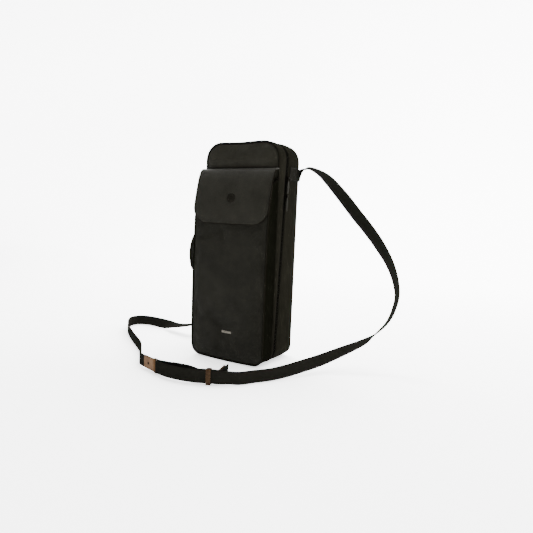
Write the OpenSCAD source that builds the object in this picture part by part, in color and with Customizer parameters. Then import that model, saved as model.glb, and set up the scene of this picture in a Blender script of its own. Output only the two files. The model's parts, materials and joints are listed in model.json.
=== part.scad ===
// Drum stick bag: an upright case that opens like a book, with a flapped front pocket,
// a side handle and a webbing shoulder strap that lies around it on the ground.
// Millimetres. Origin: middle of the base under the main compartment. Front is -Y, up is +Z.

/* [Bag body] */
// Height of the bag
bag_h = 460; // [440:5:480]
// Width of the bag across its front
bag_w = 182; // [176:2:188]
// Depth of the main compartment, pocket not counted
main_d = 87; // [84:1:90]
// Radius of the two upper corners
top_r = 38; // [30:1:42]
// Radius of the two lower corners
bottom_r = 22; // [18:1:26]
// Thickness of a padded wall
wall = 3; // [2.5:0.5:3.5]
// Thickness of the reinforced base
base_t = 3.5; // [3:0.5:4]

/* [Zip] */
// How far the zip line leans back for each millimetre of height
zip_rise = 0.055; // [0.04:0.005:0.06]
// Distance of the zip line behind the front panel, at the ground
zip_set = 12; // [11:1:14]

/* [Front pocket] */
// Depth of the front pocket
pocket_d = 36; // [30:1:38]
// Height at which the pocket's face ends
pocket_top = 368; // [350:1:369]
// Height of the flap's seam on the front panel
flap_top = 404; // [402:1:406]
// Height of the flap's lower edge
flap_low = 290; // [270:1:300]
// Radius of the flap's two lower corners
flap_r = 35; // [20:1:40]
// Height of the press stud
stud_z = 342; // [330:1:345]

/* [Handle and strap] */
// Distance between the handle's two ends
handle_span = 140; // [130:2:150]
// How far the handle's crest stands off the bag
handle_rise = 42; // [38:1:46]
// Width of the shoulder strap's webbing
strap_w = 25; // [20:1:25]
// Thickness of the shoulder strap's webbing
strap_t = 1.8; // [1.5:0.1:2]

/* [Hidden] */
$fn = 64;

half_w = bag_w / 2;
back_y = main_d / 2;
front_y = -main_d / 2;
face_y = front_y - pocket_d;
zip_y = front_y + zip_set;
slant = atan(zip_rise);
spine_x = -half_w + 40;

board_t = 2.5;
lining_t = 1;
piping_r = wall / 2;
chain_gap = 0.6;
teeth_end = 2.6;
tape_end = 6;

canvas = [0.16, 0.155, 0.13];
canvas_light = [0.21, 0.2, 0.17];
webbing = [0.13, 0.13, 0.115];
lining = [0.35, 0.33, 0.28];
leather = [0.55, 0.33, 0.17];
metal = [0.5, 0.4, 0.32];
board = [0.42, 0.36, 0.28];

// ---------- shared shapes ----------

// Outline of the body from the front, moved inwards by inset
module outline(inset) {
    half = half_w - inset;
    low = base_t + inset;
    high = bag_h - inset;
    rt = top_r - inset;
    rb = bottom_r - inset;
    translate([-half, low + rb]) square([2 * half, high - low - rb - rt]);
    translate([-half + rt, low + rb]) square([2 * (half - rt), high - low - rb]);
    translate([-half + rb, low]) square([2 * (half - rb), rb + 1]);
    for (side = [-1, 1]) {
        translate([side * (half - rt), high - rt]) circle(rt);
        translate([side * (half - rb), low + rb]) circle(rb);
    }
}

// The outline as a solid between two depths
module prism(inset, y0, y1) {
    translate([0, y1, 0]) rotate([90, 0, 0]) linear_extrude(y1 - y0) outline(inset);
}

// A wall that follows the outline
module ring(inset, thickness, y0, y1) {
    difference() {
        prism(inset, y0, y1);
        prism(inset + thickness, y0 - 1, y1 + 1);
    }
}

// Space between two distances from the leaning zip plane, negative in front of it
module zip_slab(near, far) {
    translate([0, zip_y, 0]) rotate([-slant, 0, 0])
        translate([-half_w - 20, near, -60]) cube([bag_w + 40, far - near, bag_h + 120]);
}

// The part of the body to the right of the spine, and the spine's own part
module right_of_spine() {
    translate([spine_x, -200, -10]) cube([bag_w, 400, bag_h + 20]);
}
module left_of_spine() {
    translate([spine_x - 60, -200, -10]) cube([60, 400, bag_h + 20]);
}

// Round bead along the outline: straight runs and quarter rings
module bead(inset, y, r) {
    half = half_w - inset;
    low = base_t + inset;
    high = bag_h - inset;
    rt = top_r - inset;
    rb = bottom_r - inset;
    for (side = [-1, 1]) {
        translate([side * half, y, low + rb]) cylinder(r = r, h = high - low - rt - rb);
    }
    translate([-half + rt, y, high]) rotate([0, 90, 0]) cylinder(r = r, h = 2 * (half - rt));
    translate([-half + rb, y, low]) rotate([0, 90, 0]) cylinder(r = r, h = 2 * (half - rb));
    bead_corner(half - rt, high - rt, rt, 0, y, r);
    bead_corner(rt - half, high - rt, rt, 90, y, r);
    bead_corner(rb - half, low + rb, rb, 180, y, r);
    bead_corner(half - rb, low + rb, rb, 270, y, r);
}
module bead_corner(x, z, bend_r, start, y, r) {
    translate([x, y, z]) rotate([90, 0, 0]) rotate([0, 0, start])
        rotate_extrude(angle = 90) translate([bend_r, 0]) circle(r);
}

// ---------- webbing that is bent and twisted ----------

function unit(v) = v / norm(v);
function spline(a, b, c, d, t) =
    0.5 * (2 * b + (c - a) * t + (2 * a - 5 * b + 4 * c - d) * t * t
        + (3 * b - a - 3 * c + d) * t * t * t);
// Stations along a route of [place, width direction] pairs, with steps to each stretch
function stations(route, steps) = let(last = len(route) - 1) concat(
    [for (i = [0 : last - 1], k = [0 : steps - 1])
        let(a = route[max(i - 1, 0)], b = route[i], c = route[i + 1], d = route[min(i + 2, last)])
        [for (j = [0, 1]) spline(a[j], b[j], c[j], d[j], k / steps)]],
    [route[last]]);
// A strip of the given width and thickness through the stations
module strip(line, width, thickness) {
    last = len(line) - 1;
    corners = [for (i = [0 : last])
        let(along = unit(line[min(i + 1, last)][0] - line[max(i - 1, 0)][0]),
            face = unit(cross(along, line[i][1])),
            across = cross(face, along))
        for (c = [[-1, -1], [1, -1], [1, 1], [-1, 1]])
            line[i][0] + across * c[0] * width / 2 + face * c[1] * thickness / 2];
    sides = [for (i = [0 : last - 1], k = [0 : 3])
        let(a = 4 * i + k, b = 4 * i + (k + 1) % 4)
        for (tri = [[a, b, b + 4], [a, b + 4, a + 4]]) tri];
    ends = [[0, 2, 1], [0, 3, 2],
        [4 * last, 4 * last + 1, 4 * last + 2], [4 * last, 4 * last + 2, 4 * last + 3]];
    polyhedron(points = corners, faces = concat(sides, ends));
}

// ---------- places of the strap and its hardware ----------

// Height of the webbing's middle where it stands on edge, and where it runs through metal
edge_z = strap_w / 2 + 0.3;
metal_z = 15;
up = [0, 0, 1];
function heading(turn) = [cos(turn), sin(turn), 0];
function sideways(turn) = [-sin(turn), cos(turn), 0];

// Adjuster: its middle, its heading, half the straight run, its lead-in and the layers' offset
glide_at = [55, -209, metal_z];
glide_turn = 205;
glide_run = 11;
glide_lead = 20;
layer_off = 2.6;
function glide_point(along, side) =
    glide_at + heading(glide_turn) * along + sideways(glide_turn) * side;

// Ring: the bar that the long webbing folds around, its heading and the distance to the tab's bar
ring_at = [-56, -222, metal_z];
ring_turn = 172;
ring_gap = 10;
bar_r = 1.3;
fold_r = bar_r + 0.9 + strap_t / 2;
function fold_point(angle) = ring_at + heading(angle) * fold_r;

// Leather tab: the ring's other bar, the tab's heading and length
tab_at = ring_at + heading(ring_turn) * ring_gap;
tab_turn = 165;
tab_len = 34;
leather_t = 1.6;
function tab_point(along, side) = tab_at + heading(tab_turn) * along + sideways(tab_turn) * side;

// Long webbing: from the upper anchor, round the right side and along the ground to the adjuster
long_route = [
    [[92.4, 34.5, 397], up],
    [[92.4, 39, 397], up],
    [[92.8, 43, 397], up],
    [[94.2, 47, 400], [0, 0.3, 1]],
    [[96.5, 49, 405], [0, 0.8, 0.7]],
    [[100, 50, 411], [-0.1, 1, 0.3]],
    [[107, 50, 413], [-0.1, 1, 0.1]],
    [[118, 53, 412], [0, 1, 0.1]],
    [[137, 60, 402], [0.25, 0.95, 0.3]],
    [[155, 66, 386], [0.45, 0.8, 0.5]],
    [[186, 70, 353], [0.6, 0.55, 0.6]],
    [[214, 74, 320], [0.63, 0.44, 0.64]],
    [[243, 76, 288], [0.6, 0.55, 0.5]],
    [[268, 77, 257], [0.5, 0.75, 0.4]],
    [[289, 78, 225], [0.2, 0.95, 0.2]],
    [[303, 78, 194], [0, 1, 0]],
    [[310, 78, 162], [-0.2, 1, 0]],
    [[307, 78, 135], [-0.35, 0.95, 0]],
    [[297, 75, 105], [-0.45, 0.9, 0]],
    [[277, 64, 77], [-0.5, 0.85, 0]],
    [[255, 49, 58], [-0.5, 0.8, 0.2]],
    [[222, 18, 40], [-0.45, 0.6, 0.5]],
    [[194, -26, 27], [-0.3, 0.4, 0.8]],
    [[168, -72, 19], [-0.2, 0.25, 0.9]],
    [[153, -98, 15], [-0.1, 0.15, 1]],
    [[136, -127, edge_z], up],
    [[119, -152, edge_z], up],
    [[102, -178, edge_z], up],
    [[88, -190, 14], up],
    [glide_point(-glide_lead, layer_off), up],
    [glide_point(-glide_run, layer_off), up],
    [glide_point(glide_run, layer_off), up],
    [glide_point(glide_lead, layer_off), up],
    [[10, -228, metal_z], up],
    [[-26, -231, metal_z], up]
];
// The fold round the ring's bar, and the way back through the adjuster to the loose end
fold_route = [for (k = [0 : 4]) [fold_point(ring_turn + 90 - 45 * k), up]];
tail_route = [
    [[-26, -215, metal_z], up],
    [[10, -211, metal_z], up],
    [glide_point(glide_lead, -layer_off), up],
    [glide_point(glide_run, -layer_off), up],
    [glide_point(-glide_run, -layer_off), up],
    [glide_point(-glide_lead, -layer_off), up],
    [[79, -183, 25], [0, 0.1, 1]]
];

// Short webbing: from inside the leather tab, round to the left and back to the lower anchor
short_route = [
    [tab_point(8, 0), up],
    [tab_point(20, 0), up],
    [tab_point(tab_len, 0), up],
    [tab_point(tab_len + 8, 0), up],
    [[-122, -202, 14], up],
    [[-136, -189, edge_z], up],
    [[-153, -168, edge_z], up],
    [[-188, -137, edge_z], up],
    [[-255, -92, edge_z], up],
    [[-320, -45, edge_z], up],
    [[-358, -8, edge_z], up],
    [[-376, 20, edge_z], up],
    [[-372, 44, edge_z], up],
    [[-352, 55, edge_z], up],
    [[-325, 56, edge_z], [0, 0.1, 1]],
    [[-283, 50, 14], [0, 0.5, 0.8]],
    [[-240, 42, 18], [0.1, 1, 0.3]],
    [[-195, 38, 27], [0, 1, 0.1]],
    [[-150, 44, 40], [0, 1, 0.2]],
    [[-112, 54, 51], [0, 0.8, 0.6]],
    [[-99, 53, 54], [0, 0.3, 1]],
    [[-93.4, 46, 54], up],
    [[-92.1, 41, 54], up],
    [[-92.1, 34.5, 54], up]
];
anchor_z = 397;
low_anchor_z = 54;

// ---------- rear shell ----------

module back_panel() {
    color(canvas) prism(wall, back_y - wall, back_y);
}
module back_board() {
    color(board) prism(wall, back_y - wall - board_t, back_y - wall);
}
// Top, right side and bottom of the rear half
module rear_gusset() {
    color(canvas_light) intersection() {
        ring(0, wall, front_y, back_y - wall);
        zip_slab(tape_end, 100);
        right_of_spine();
    }
}
// Left side of the rear half, with the two left corners
module rear_spine() {
    color(canvas_light) intersection() {
        ring(0, wall, front_y, back_y - wall);
        zip_slab(0.3, 100);
        left_of_spine();
    }
}
module rear_piping() {
    color(canvas) bead(piping_r, back_y - piping_r, piping_r);
}
module rear_zip_tape() {
    color(webbing) intersection() {
        ring(1, 1.2, front_y, back_y);
        zip_slab(teeth_end, tape_end);
        right_of_spine();
    }
}
module rear_zip_teeth() {
    color(metal) intersection() {
        ring(0.4, 2.2, front_y, back_y);
        zip_slab(chain_gap, teeth_end);
        right_of_spine();
    }
}
// Tray of lining cloth inside the rear half
module rear_lining() {
    floor_y = back_y - wall - board_t;
    color(lining) intersection() {
        difference() {
            prism(wall, front_y, floor_y);
            prism(wall + lining_t, front_y - 1, floor_y - lining_t);
        }
        zip_slab(tape_end + 1, 100);
    }
}
// Reinforcement that the bag stands on
module base_panel() {
    color(canvas) translate([-66, -24, 0]) cube([132, 64, base_t]);
}

// ---------- stick sleeves inside the rear shell ----------

sleeve_y = 12;
sleeve_t = 1.5;
sleeve_top = 286;
inside_w = half_w - wall - lining_t;
inside_z = base_t + wall + lining_t;
sleeve_back = back_y - wall - board_t - lining_t;

module stick_pocket_panel() {
    color(lining) intersection() {
        translate([-inside_w, sleeve_y, inside_z])
            cube([2 * inside_w, sleeve_t, sleeve_top - inside_z]);
        prism(wall + lining_t, -50, 50);
    }
}
module stick_pocket_dividers() {
    for (x = [-29, 29]) {
        color(lining) translate([x - 0.75, sleeve_y + sleeve_t, inside_z + 2])
            cube([1.5, sleeve_back - sleeve_y - sleeve_t, sleeve_top - inside_z - 6]);
    }
}
module stick_pocket_binding() {
    color(webbing) translate([-inside_w, sleeve_y - 0.6, sleeve_top])
        cube([2 * inside_w, sleeve_t + 1.2, 8]);
}

// ---------- strap ----------

module anchor_patch(side, z) {
    x = side > 0 ? half_w : -half_w - 1.3;
    translate([x, 0, z - 15]) cube([1.3, 34, 30]);
}
module strap_anchor_top() {
    color(webbing) anchor_patch(1, anchor_z);
}
module strap_anchor_bottom() {
    color(webbing) anchor_patch(-1, low_anchor_z);
}
module shoulder_strap_long() {
    color(webbing)
        strip(concat(stations(long_route, 2), fold_route, stations(tail_route, 2)), strap_w, strap_t);
}
module shoulder_strap_short() {
    color(webbing) strip(stations(short_route, 2), strap_w, strap_t);
}
module strap_leather_tab() {
    leg = strap_t / 2 + leather_t / 2 + 0.05;
    bend = bar_r + 0.35 + leather_t / 2;
    legs = [for (p = [tab_len, 22, 10, 4]) p];
    line = concat(
        [for (p = legs) [tab_point(p, p < 5 ? bend - 0.3 : leg), up]],
        [for (k = [0 : 4]) [tab_at + heading(tab_turn + 90 + 45 * k) * bend, up]],
        [for (i = [3 : -1 : 0]) [tab_point(legs[i], legs[i] < 5 ? 0.3 - bend : -leg), up]]);
    color(leather) strip(line, strap_w - 1, leather_t);
}
module strap_tab_rivet() {
    face = strap_t / 2 + leather_t + 0.05;
    for (side = [-1, 1]) {
        color(metal) translate(tab_point(18, side * (face + 0.45)))
            rotate([0, 0, tab_turn]) rotate([90, 0, 0]) cylinder(r = 2.6, h = 0.8, center = true);
    }
}
// Frame with a middle bar, around both layers of webbing
module strap_adjuster() {
    tall = strap_w / 2 + 0.5;
    color(metal) translate(glide_at) rotate([0, 0, glide_turn]) difference() {
        cube([9, 12.4, 2 * tall + 3.2], center = true);
        for (side = [-1, 1]) {
            translate([0, side * 2.7, 0]) cube([20, 3.8, 2 * tall], center = true);
        }
    }
}
module strap_ring() {
    tall = strap_w / 2 + 0.5;
    color(metal) translate(ring_at) rotate([0, 0, ring_turn]) {
        for (x = [0, ring_gap]) {
            translate([x, 0, -tall]) cylinder(r = bar_r, h = 2 * tall);
        }
        for (z = [-tall - 1.6, tall]) {
            translate([-bar_r, -bar_r, z]) cube([ring_gap + 2 * bar_r, 2 * bar_r, 1.6]);
        }
    }
}

// ---------- front cover ----------

module front_panel() {
    color(canvas) prism(wall, front_y, front_y + wall);
}
module front_board() {
    color(board) intersection() {
        prism(wall, front_y + wall, front_y + wall + board_t);
        zip_slab(-100, -tape_end - 0.2);
    }
}
module front_gusset() {
    color(canvas_light) intersection() {
        ring(0, wall, front_y + wall, back_y);
        zip_slab(-100, -tape_end);
        right_of_spine();
    }
}
module front_spine() {
    color(canvas_light) intersection() {
        ring(0, wall, front_y + wall, back_y);
        zip_slab(-100, -0.3);
        left_of_spine();
    }
}
module front_piping() {
    color(canvas) bead(piping_r, front_y + piping_r, piping_r);
}
module front_zip_tape() {
    color(webbing) intersection() {
        ring(1, 1.2, front_y, back_y);
        zip_slab(-tape_end, -teeth_end);
        right_of_spine();
    }
}
module front_zip_teeth() {
    color(metal) intersection() {
        ring(0.4, 2.2, front_y, back_y);
        zip_slab(-teeth_end, -chain_gap);
        right_of_spine();
    }
}
module front_lining() {
    floor_y = front_y + wall + board_t;
    color(lining) intersection() {
        difference() {
            prism(wall, floor_y, back_y);
            prism(wall + lining_t, floor_y + lining_t, back_y + 1);
        }
        zip_slab(-100, -tape_end - 1);
    }
}
// Flat pocket on the inside of the cover, open at the top
org_low = 190;
org_top = 350;
org_half = 66;
org_y = front_y + wall + board_t + lining_t;
org_gap = 6;
module organiser_pocket() {
    color(lining) difference() {
        translate([-org_half, org_y, org_low])
            cube([2 * org_half, org_gap + 1.5, org_top - org_low]);
        translate([-org_half + 2, org_y - 1, org_low + 2])
            cube([2 * org_half - 4, org_gap + 1, org_top - org_low]);
    }
}
module organiser_binding() {
    color(webbing) translate([-org_half, org_y + org_gap - 0.5, org_top])
        cube([2 * org_half, 2.5, 7]);
}

// ---------- front pocket ----------

pocket_wall = 2.2;
hem_h = 6;

module pocket_face() {
    color(canvas) intersection() {
        prism(pocket_wall, face_y, face_y + pocket_wall);
        translate([-half_w, face_y - 1, 0]) cube([bag_w, 5, pocket_top - hem_h]);
    }
}
// Sides and bottom of the pocket; the top edge falls from the panel to the face
module pocket_gusset() {
    color(canvas_light) intersection() {
        ring(0, pocket_wall, face_y + pocket_wall, front_y);
        translate([-half_w - 1, 0, 0]) rotate([90, 0, 90]) linear_extrude(bag_w + 2)
            polygon([[face_y, 0], [front_y, 0], [front_y, pocket_top + 16], [face_y, pocket_top]]);
    }
}
module pocket_piping() {
    r = pocket_wall / 2;
    color(canvas) intersection() {
        bead(r, face_y + r, r);
        translate([-half_w - 1, face_y - 1, 0]) cube([bag_w + 2, 5, pocket_top]);
    }
}
module pocket_hem() {
    w = half_w - pocket_wall;
    color(canvas_light) translate([-w, face_y - 0.2, pocket_top - hem_h])
        cube([2 * w, pocket_wall + 0.4, hem_h]);
}
module blank_badge() {
    color([0.75, 0.72, 0.66]) translate([4, face_y, 65]) rotate([90, 0, 0]) linear_extrude(0.7) {
        square([26, 6], center = true);
        for (side = [-13, 13]) {
            translate([side, 0]) circle(3);
        }
    }
}
module snap_stud() {
    color(metal) translate([0, face_y, stud_z]) rotate([90, 0, 0]) {
        cylinder(r = 6, h = 0.6);
        cylinder(r = 2.1, h = 2.5);
    }
}

// ---------- pocket flap ----------

flap_half = half_w + 1.5;
flap_bend_y = front_y - 9.5;
flap_bend_r = pocket_d + 3.5 - 9.5;
flap_bend_z = flap_top - flap_bend_r;
flap_t = 1.6;
flap_lining_t = 1;
flap_edge = 3;

module flap_root() {
    thick = flap_t + flap_lining_t;
    color(canvas) {
        translate([-flap_half, front_y - 5.7, flap_top - thick])
            cube([2 * flap_half, 5.7, thick]);
    }
}
// Outline of the flap's hanging part, moved inwards by inset, open at its upper end
module flap_outline(inset) {
    half = flap_half - inset;
    low = flap_low + inset;
    r = flap_r - inset;
    translate([-half, low + r]) square([2 * half, flap_bend_z - low - r]);
    translate([-half + r, low]) square([2 * (half - r), flap_bend_z - low]);
    for (side = [-1, 1]) {
        translate([side * (half - r), low + r]) circle(r);
    }
}
// One layer of the flap: hanging part, bend and the short run to the hinge
module flap_layer(depth, thick) {
    far = face_y - 3.5 + depth;
    r = flap_bend_r - depth;
    difference() {
        translate([0, far + thick, 0]) rotate([90, 0, 0]) linear_extrude(thick)
            flap_outline(flap_edge);
        translate([0, far + thick + 1, stud_z]) rotate([90, 0, 0]) cylinder(r = 7.3, h = thick + 2);
    }
    translate([-flap_half, flap_bend_y, flap_bend_z]) rotate([0, 90, 0]) rotate([0, 0, 180])
        rotate_extrude(angle = 90) translate([r - thick, 0]) square([thick, 2 * flap_half]);
    translate([-flap_half, flap_bend_y, flap_bend_z + r - thick])
        cube([2 * flap_half, 0.6, thick]);
}
module flap_outer() {
    color(canvas) flap_layer(0, flap_t);
}
module flap_lining() {
    color(lining) flap_layer(flap_t, flap_lining_t);
}
module flap_binding() {
    thick = flap_t + flap_lining_t + 0.2;
    color(canvas) translate([0, face_y - 0.8, 0]) rotate([90, 0, 0]) linear_extrude(thick)
        difference() {
            flap_outline(0);
            flap_outline(flap_edge);
        }
}
module snap_cap() {
    color(canvas) translate([0, face_y - 3.5, stud_z]) rotate([90, 0, 0]) cylinder(r = 10, h = 1.8);
}
module snap_socket() {
    color(metal) translate([0, face_y - 1.1, stud_z]) rotate([90, 0, 0]) difference() {
        cylinder(r = 7, h = 2.4);
        translate([0, 0, -1]) cylinder(r = 3, h = 5);
    }
}

// ---------- handle on the spine ----------

handle_z = 220;
handle_y = -12;
handle_w = 16;
handle_t = 2.4;
end_gap = 6;
handle_r = (pow(handle_span / 2, 2) + pow(handle_rise - end_gap, 2)) / (2 * (handle_rise - end_gap));
handle_half_angle = asin((handle_span / 2) / handle_r);

// Frame along the leaning hinge line on the spine: x off the bag, y across, z along
module at_spine() {
    translate([-half_w, zip_y, 0]) rotate([-slant, 0, 0]) children();
}
// Arc of the handle, from one angle to the other about its crest
module handle_arc(half_angle, width, inner, outer) {
    translate([handle_r - handle_rise, handle_y + width / 2, handle_z])
        rotate([90, 0, 0]) rotate([0, 0, 180 - half_angle])
            rotate_extrude(angle = 2 * half_angle)
                translate([handle_r + inner, 0]) square([outer - inner, width]);
}
module handle_webbing() {
    color(webbing) at_spine()
        handle_arc(handle_half_angle - 1, handle_w, -handle_t / 2, handle_t / 2);
}
module handle_grip() {
    color(canvas) at_spine() difference() {
        handle_arc(28, handle_w + 4, -3.4, 3.4);
        handle_arc(34, handle_w, -handle_t / 2, handle_t / 2);
    }
}
module handle_tabs() {
    for (side = [-1, 1]) {
        color(canvas) at_spine()
            translate([-3, handle_y - 8, handle_z + side * (handle_span / 2 + 5) - 14])
                cube([3, 16, 28]);
    }
}
module handle_rivets() {
    for (side = [-1, 1], row = [-8, 8]) {
        color(metal) at_spine()
            translate([-3, handle_y, handle_z + side * (handle_span / 2 + 5) + row])
                rotate([0, -90, 0]) cylinder(r = 3.2, h = 0.9);
    }
}

// ---------- zip sliders ----------

upper_slider_z = 384;
lower_slider_z = 348;
pin_x = 4.2;
pin_z = 3.5;

// Frame along the zip on the right side, at a height along it
module at_zip(z) {
    translate([half_w, zip_y, 0]) rotate([-slant, 0, 0]) translate([0, 0, z]) children();
}
// Plates outside and inside the chain, joined through the gap, with lugs and a pin for the pull
module zip_slider(z) {
    color(metal) at_zip(z) {
        translate([0.4, -4.5, -7]) cube([1.8, 9, 14]);
        translate([-3.4, -0.3, -4]) cube([4, 0.6, 8]);
        translate([-4.8, -4.5, -7]) cube([1.6, 9, 14]);
        for (y = [-3.2, 1.9]) {
            translate([2, y, pin_z - 1.5]) cube([pin_x - 2 + 1.2, 1.3, 3]);
        }
        translate([pin_x, 3, pin_z]) rotate([90, 0, 0]) cylinder(r = 0.7, h = 6);
    }
}
module zip_pull(z) {
    color(leather) at_zip(z) translate([pin_x, 0, pin_z]) {
        rotate([90, 0, 0]) difference() {
            union() {
                cylinder(r = 1.7, h = 3.2, center = true);
                translate([-0.8, -6, -1.6]) cube([1.6, 6, 3.2]);
            }
            cylinder(r = 0.77, h = 6, center = true);
        }
        translate([-0.8, -3.5, -29]) cube([1.6, 7, 24]);
    }
}
module zip_slider_upper() {
    zip_slider(upper_slider_z);
}
module zip_slider_lower() {
    zip_slider(lower_slider_z);
}
module zip_pull_upper() {
    zip_pull(upper_slider_z);
}
module zip_pull_lower() {
    zip_pull(lower_slider_z);
}

back_panel();
back_board();
rear_gusset();
rear_spine();
rear_piping();
rear_zip_tape();
rear_zip_teeth();
rear_lining();
base_panel();
stick_pocket_panel();
stick_pocket_dividers();
stick_pocket_binding();
strap_anchor_top();
strap_anchor_bottom();
shoulder_strap_long();
shoulder_strap_short();
strap_leather_tab();
strap_tab_rivet();
front_panel();
front_board();
front_gusset();
front_spine();
front_piping();
front_zip_tape();
front_zip_teeth();
front_lining();
organiser_pocket();
organiser_binding();
pocket_face();
pocket_gusset();
pocket_piping();
pocket_hem();
flap_root();
snap_stud();
blank_badge();
handle_tabs();
handle_rivets();
flap_outer();
flap_lining();
flap_binding();
snap_cap();
snap_socket();
handle_webbing();
handle_grip();
zip_slider_upper();
zip_slider_lower();
zip_pull_upper();
zip_pull_lower();
strap_adjuster();
strap_ring();
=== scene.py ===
"""Looks of the drum stick bag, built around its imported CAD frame. Millimetres until Piece.build."""
import math
import json

import bmesh
import bpy
import numpy as np
from mathutils import Matrix, Vector, noise


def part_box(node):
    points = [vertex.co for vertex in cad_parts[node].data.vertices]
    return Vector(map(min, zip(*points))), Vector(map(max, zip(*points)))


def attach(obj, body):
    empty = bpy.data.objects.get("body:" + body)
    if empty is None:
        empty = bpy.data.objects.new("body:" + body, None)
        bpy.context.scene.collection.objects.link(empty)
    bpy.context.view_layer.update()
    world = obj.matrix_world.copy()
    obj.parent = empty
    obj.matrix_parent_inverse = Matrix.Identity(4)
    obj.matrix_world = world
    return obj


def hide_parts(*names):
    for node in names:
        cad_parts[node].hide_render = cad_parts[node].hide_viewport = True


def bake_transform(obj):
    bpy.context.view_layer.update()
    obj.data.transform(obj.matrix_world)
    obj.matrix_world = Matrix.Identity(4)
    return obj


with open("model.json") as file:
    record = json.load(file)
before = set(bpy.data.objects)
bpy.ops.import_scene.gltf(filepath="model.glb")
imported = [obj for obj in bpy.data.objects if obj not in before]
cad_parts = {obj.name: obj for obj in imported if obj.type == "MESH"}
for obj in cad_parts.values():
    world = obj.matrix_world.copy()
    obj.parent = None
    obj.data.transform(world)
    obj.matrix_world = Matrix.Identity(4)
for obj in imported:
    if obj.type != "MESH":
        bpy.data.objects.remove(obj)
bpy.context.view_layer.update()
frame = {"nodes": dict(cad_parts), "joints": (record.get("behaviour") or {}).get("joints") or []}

MM = 0.001


# ---------- sizes, from the frame ----------

def node_box(name):
    """Lowest and highest corner of a CAD node, in millimetres."""
    low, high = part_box(name)
    return np.array(low) / MM, np.array(high) / MM


def joint(name):
    """The frame's record of a joint."""
    return next(j for j in frame["joints"] if j["name"] == name)


rear_low, rear_high = node_box("rear_piping")
front_low, _ = node_box("front_piping")
face_low, face_high = node_box("pocket_piping")
HALF_W = rear_high[0]
LOW = rear_low[2]
HIGH = rear_high[2]
BACK_Y = rear_high[1]
FRONT_Y = front_low[1]
FACE_Y = face_low[1]
POCKET_TOP = face_high[2]
TOP_R = 38
BOTTOM_R = 22
WALL = 3
hinge = joint("cover_hinge")
LEAN = hinge["axis"][1] / hinge["axis"][2]
ZIP_Y = hinge["pos_m"][1] / MM
SPINE_X = node_box("rear_spine")[1][0]
TAPE_END = 6


def zip_plane(z):
    """Depth of the zip line at a height."""
    return ZIP_Y + LEAN * z


def half_width(z, inset=0, low=LOW, high=HIGH, top_r=TOP_R, bottom_r=BOTTOM_R):
    """Half of the rounded outline's width at a height."""
    half, low, high = HALF_W - inset, low + inset, high - inset
    top_r = max(top_r - inset, 0.5)
    bottom_r = max(bottom_r - inset, 0.5)
    if z > high - top_r:
        return half - top_r + math.sqrt(max(top_r ** 2 - (z - high + top_r) ** 2, 0))
    if z < low + bottom_r:
        return half - bottom_r + math.sqrt(max(bottom_r ** 2 - (low + bottom_r - z) ** 2, 0))
    return half


def arc(cx, cz, r, start, end, count):
    """Points and outward normals of an arc, angles in degrees."""
    out = []
    for k in range(count + 1):
        a = math.radians(start + (end - start) * k / count)
        out.append((cx + r * math.cos(a), cz + r * math.sin(a), math.cos(a), math.sin(a)))
    return out


def ring_angles(count):
    """Evenly spaced angles round a full circle."""
    return [2 * math.pi * k / count for k in range(count)]


def line(x0, z0, x1, z1, nx, nz, step):
    """Points between two ends, both left out, with one outward normal."""
    count = max(2, round(math.hypot(x1 - x0, z1 - z0) / step))
    return [(x0 + (x1 - x0) * k / count, z0 + (z1 - z0) * k / count, nx, nz) for k in range(1, count)]


def outline_right(step=5):
    """The zipped side: from the spine's end at the top, round the right side, to its end at the bottom."""
    w, r, b = HALF_W, TOP_R, BOTTOM_R
    return ([(SPINE_X, HIGH, 0, 1)] + line(SPINE_X, HIGH, w - r, HIGH, 0, 1, step)
            + arc(w - r, HIGH - r, r, 90, 0, 12)
            + line(w, HIGH - r, w, LOW + b, 1, 0, step)
            + arc(w - b, LOW + b, b, 0, -90, 8)
            + line(w - b, LOW, SPINE_X, LOW, 0, -1, step) + [(SPINE_X, LOW, 0, -1)])


def outline_left(step=5):
    """The spine: from the bottom, round the left side, to the top."""
    w, r, b = HALF_W, TOP_R, BOTTOM_R
    return ([(SPINE_X, LOW, 0, -1)] + line(SPINE_X, LOW, b - w, LOW, 0, -1, step)
            + arc(b - w, LOW + b, b, -90, -180, 8)
            + line(-w, LOW + b, -w, HIGH - r, -1, 0, step)
            + arc(r - w, HIGH - r, r, 180, 90, 12)
            + line(r - w, HIGH, SPINE_X, HIGH, 0, 1, step) + [(SPINE_X, HIGH, 0, 1)])


def outline_whole(step=5):
    """The whole rounded outline, once round."""
    return outline_right(step)[:-1] + outline_left(step)[:-1]


def spline(a, b, c, d, t):
    """Smooth curve from b to c, with a and d as the points before and after them."""
    squared = 2 * a - 5 * b + 4 * c - d
    cubed = 3 * b - a - 3 * c + d
    return 0.5 * (2 * b + (c - a) * t + squared * t * t + cubed * t ** 3)


def wobble(p, size, seed=0.0):
    """Smooth noise from -1 to 1 at a point, with features of the given size."""
    return noise.noise(Vector((p[0] / size + seed, p[1] / size - seed, p[2] / size + 2 * seed)))


DIP_Z, DIP_RUN = 425, 35  # where the top's dip begins, and over what height it grows


def settle(v):
    """The soft case's own unevenness: a slight dip and waviness along its top."""
    x, y, z = v
    share = min(max((z - DIP_Z) / DIP_RUN, 0), 1)
    return x, y, z - share * (1.7 * math.exp(-((x + 6) / 30) ** 2) + 0.7 * wobble((x, 0, 0), 37, 0.4))


# ---------- mesh building ----------

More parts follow.
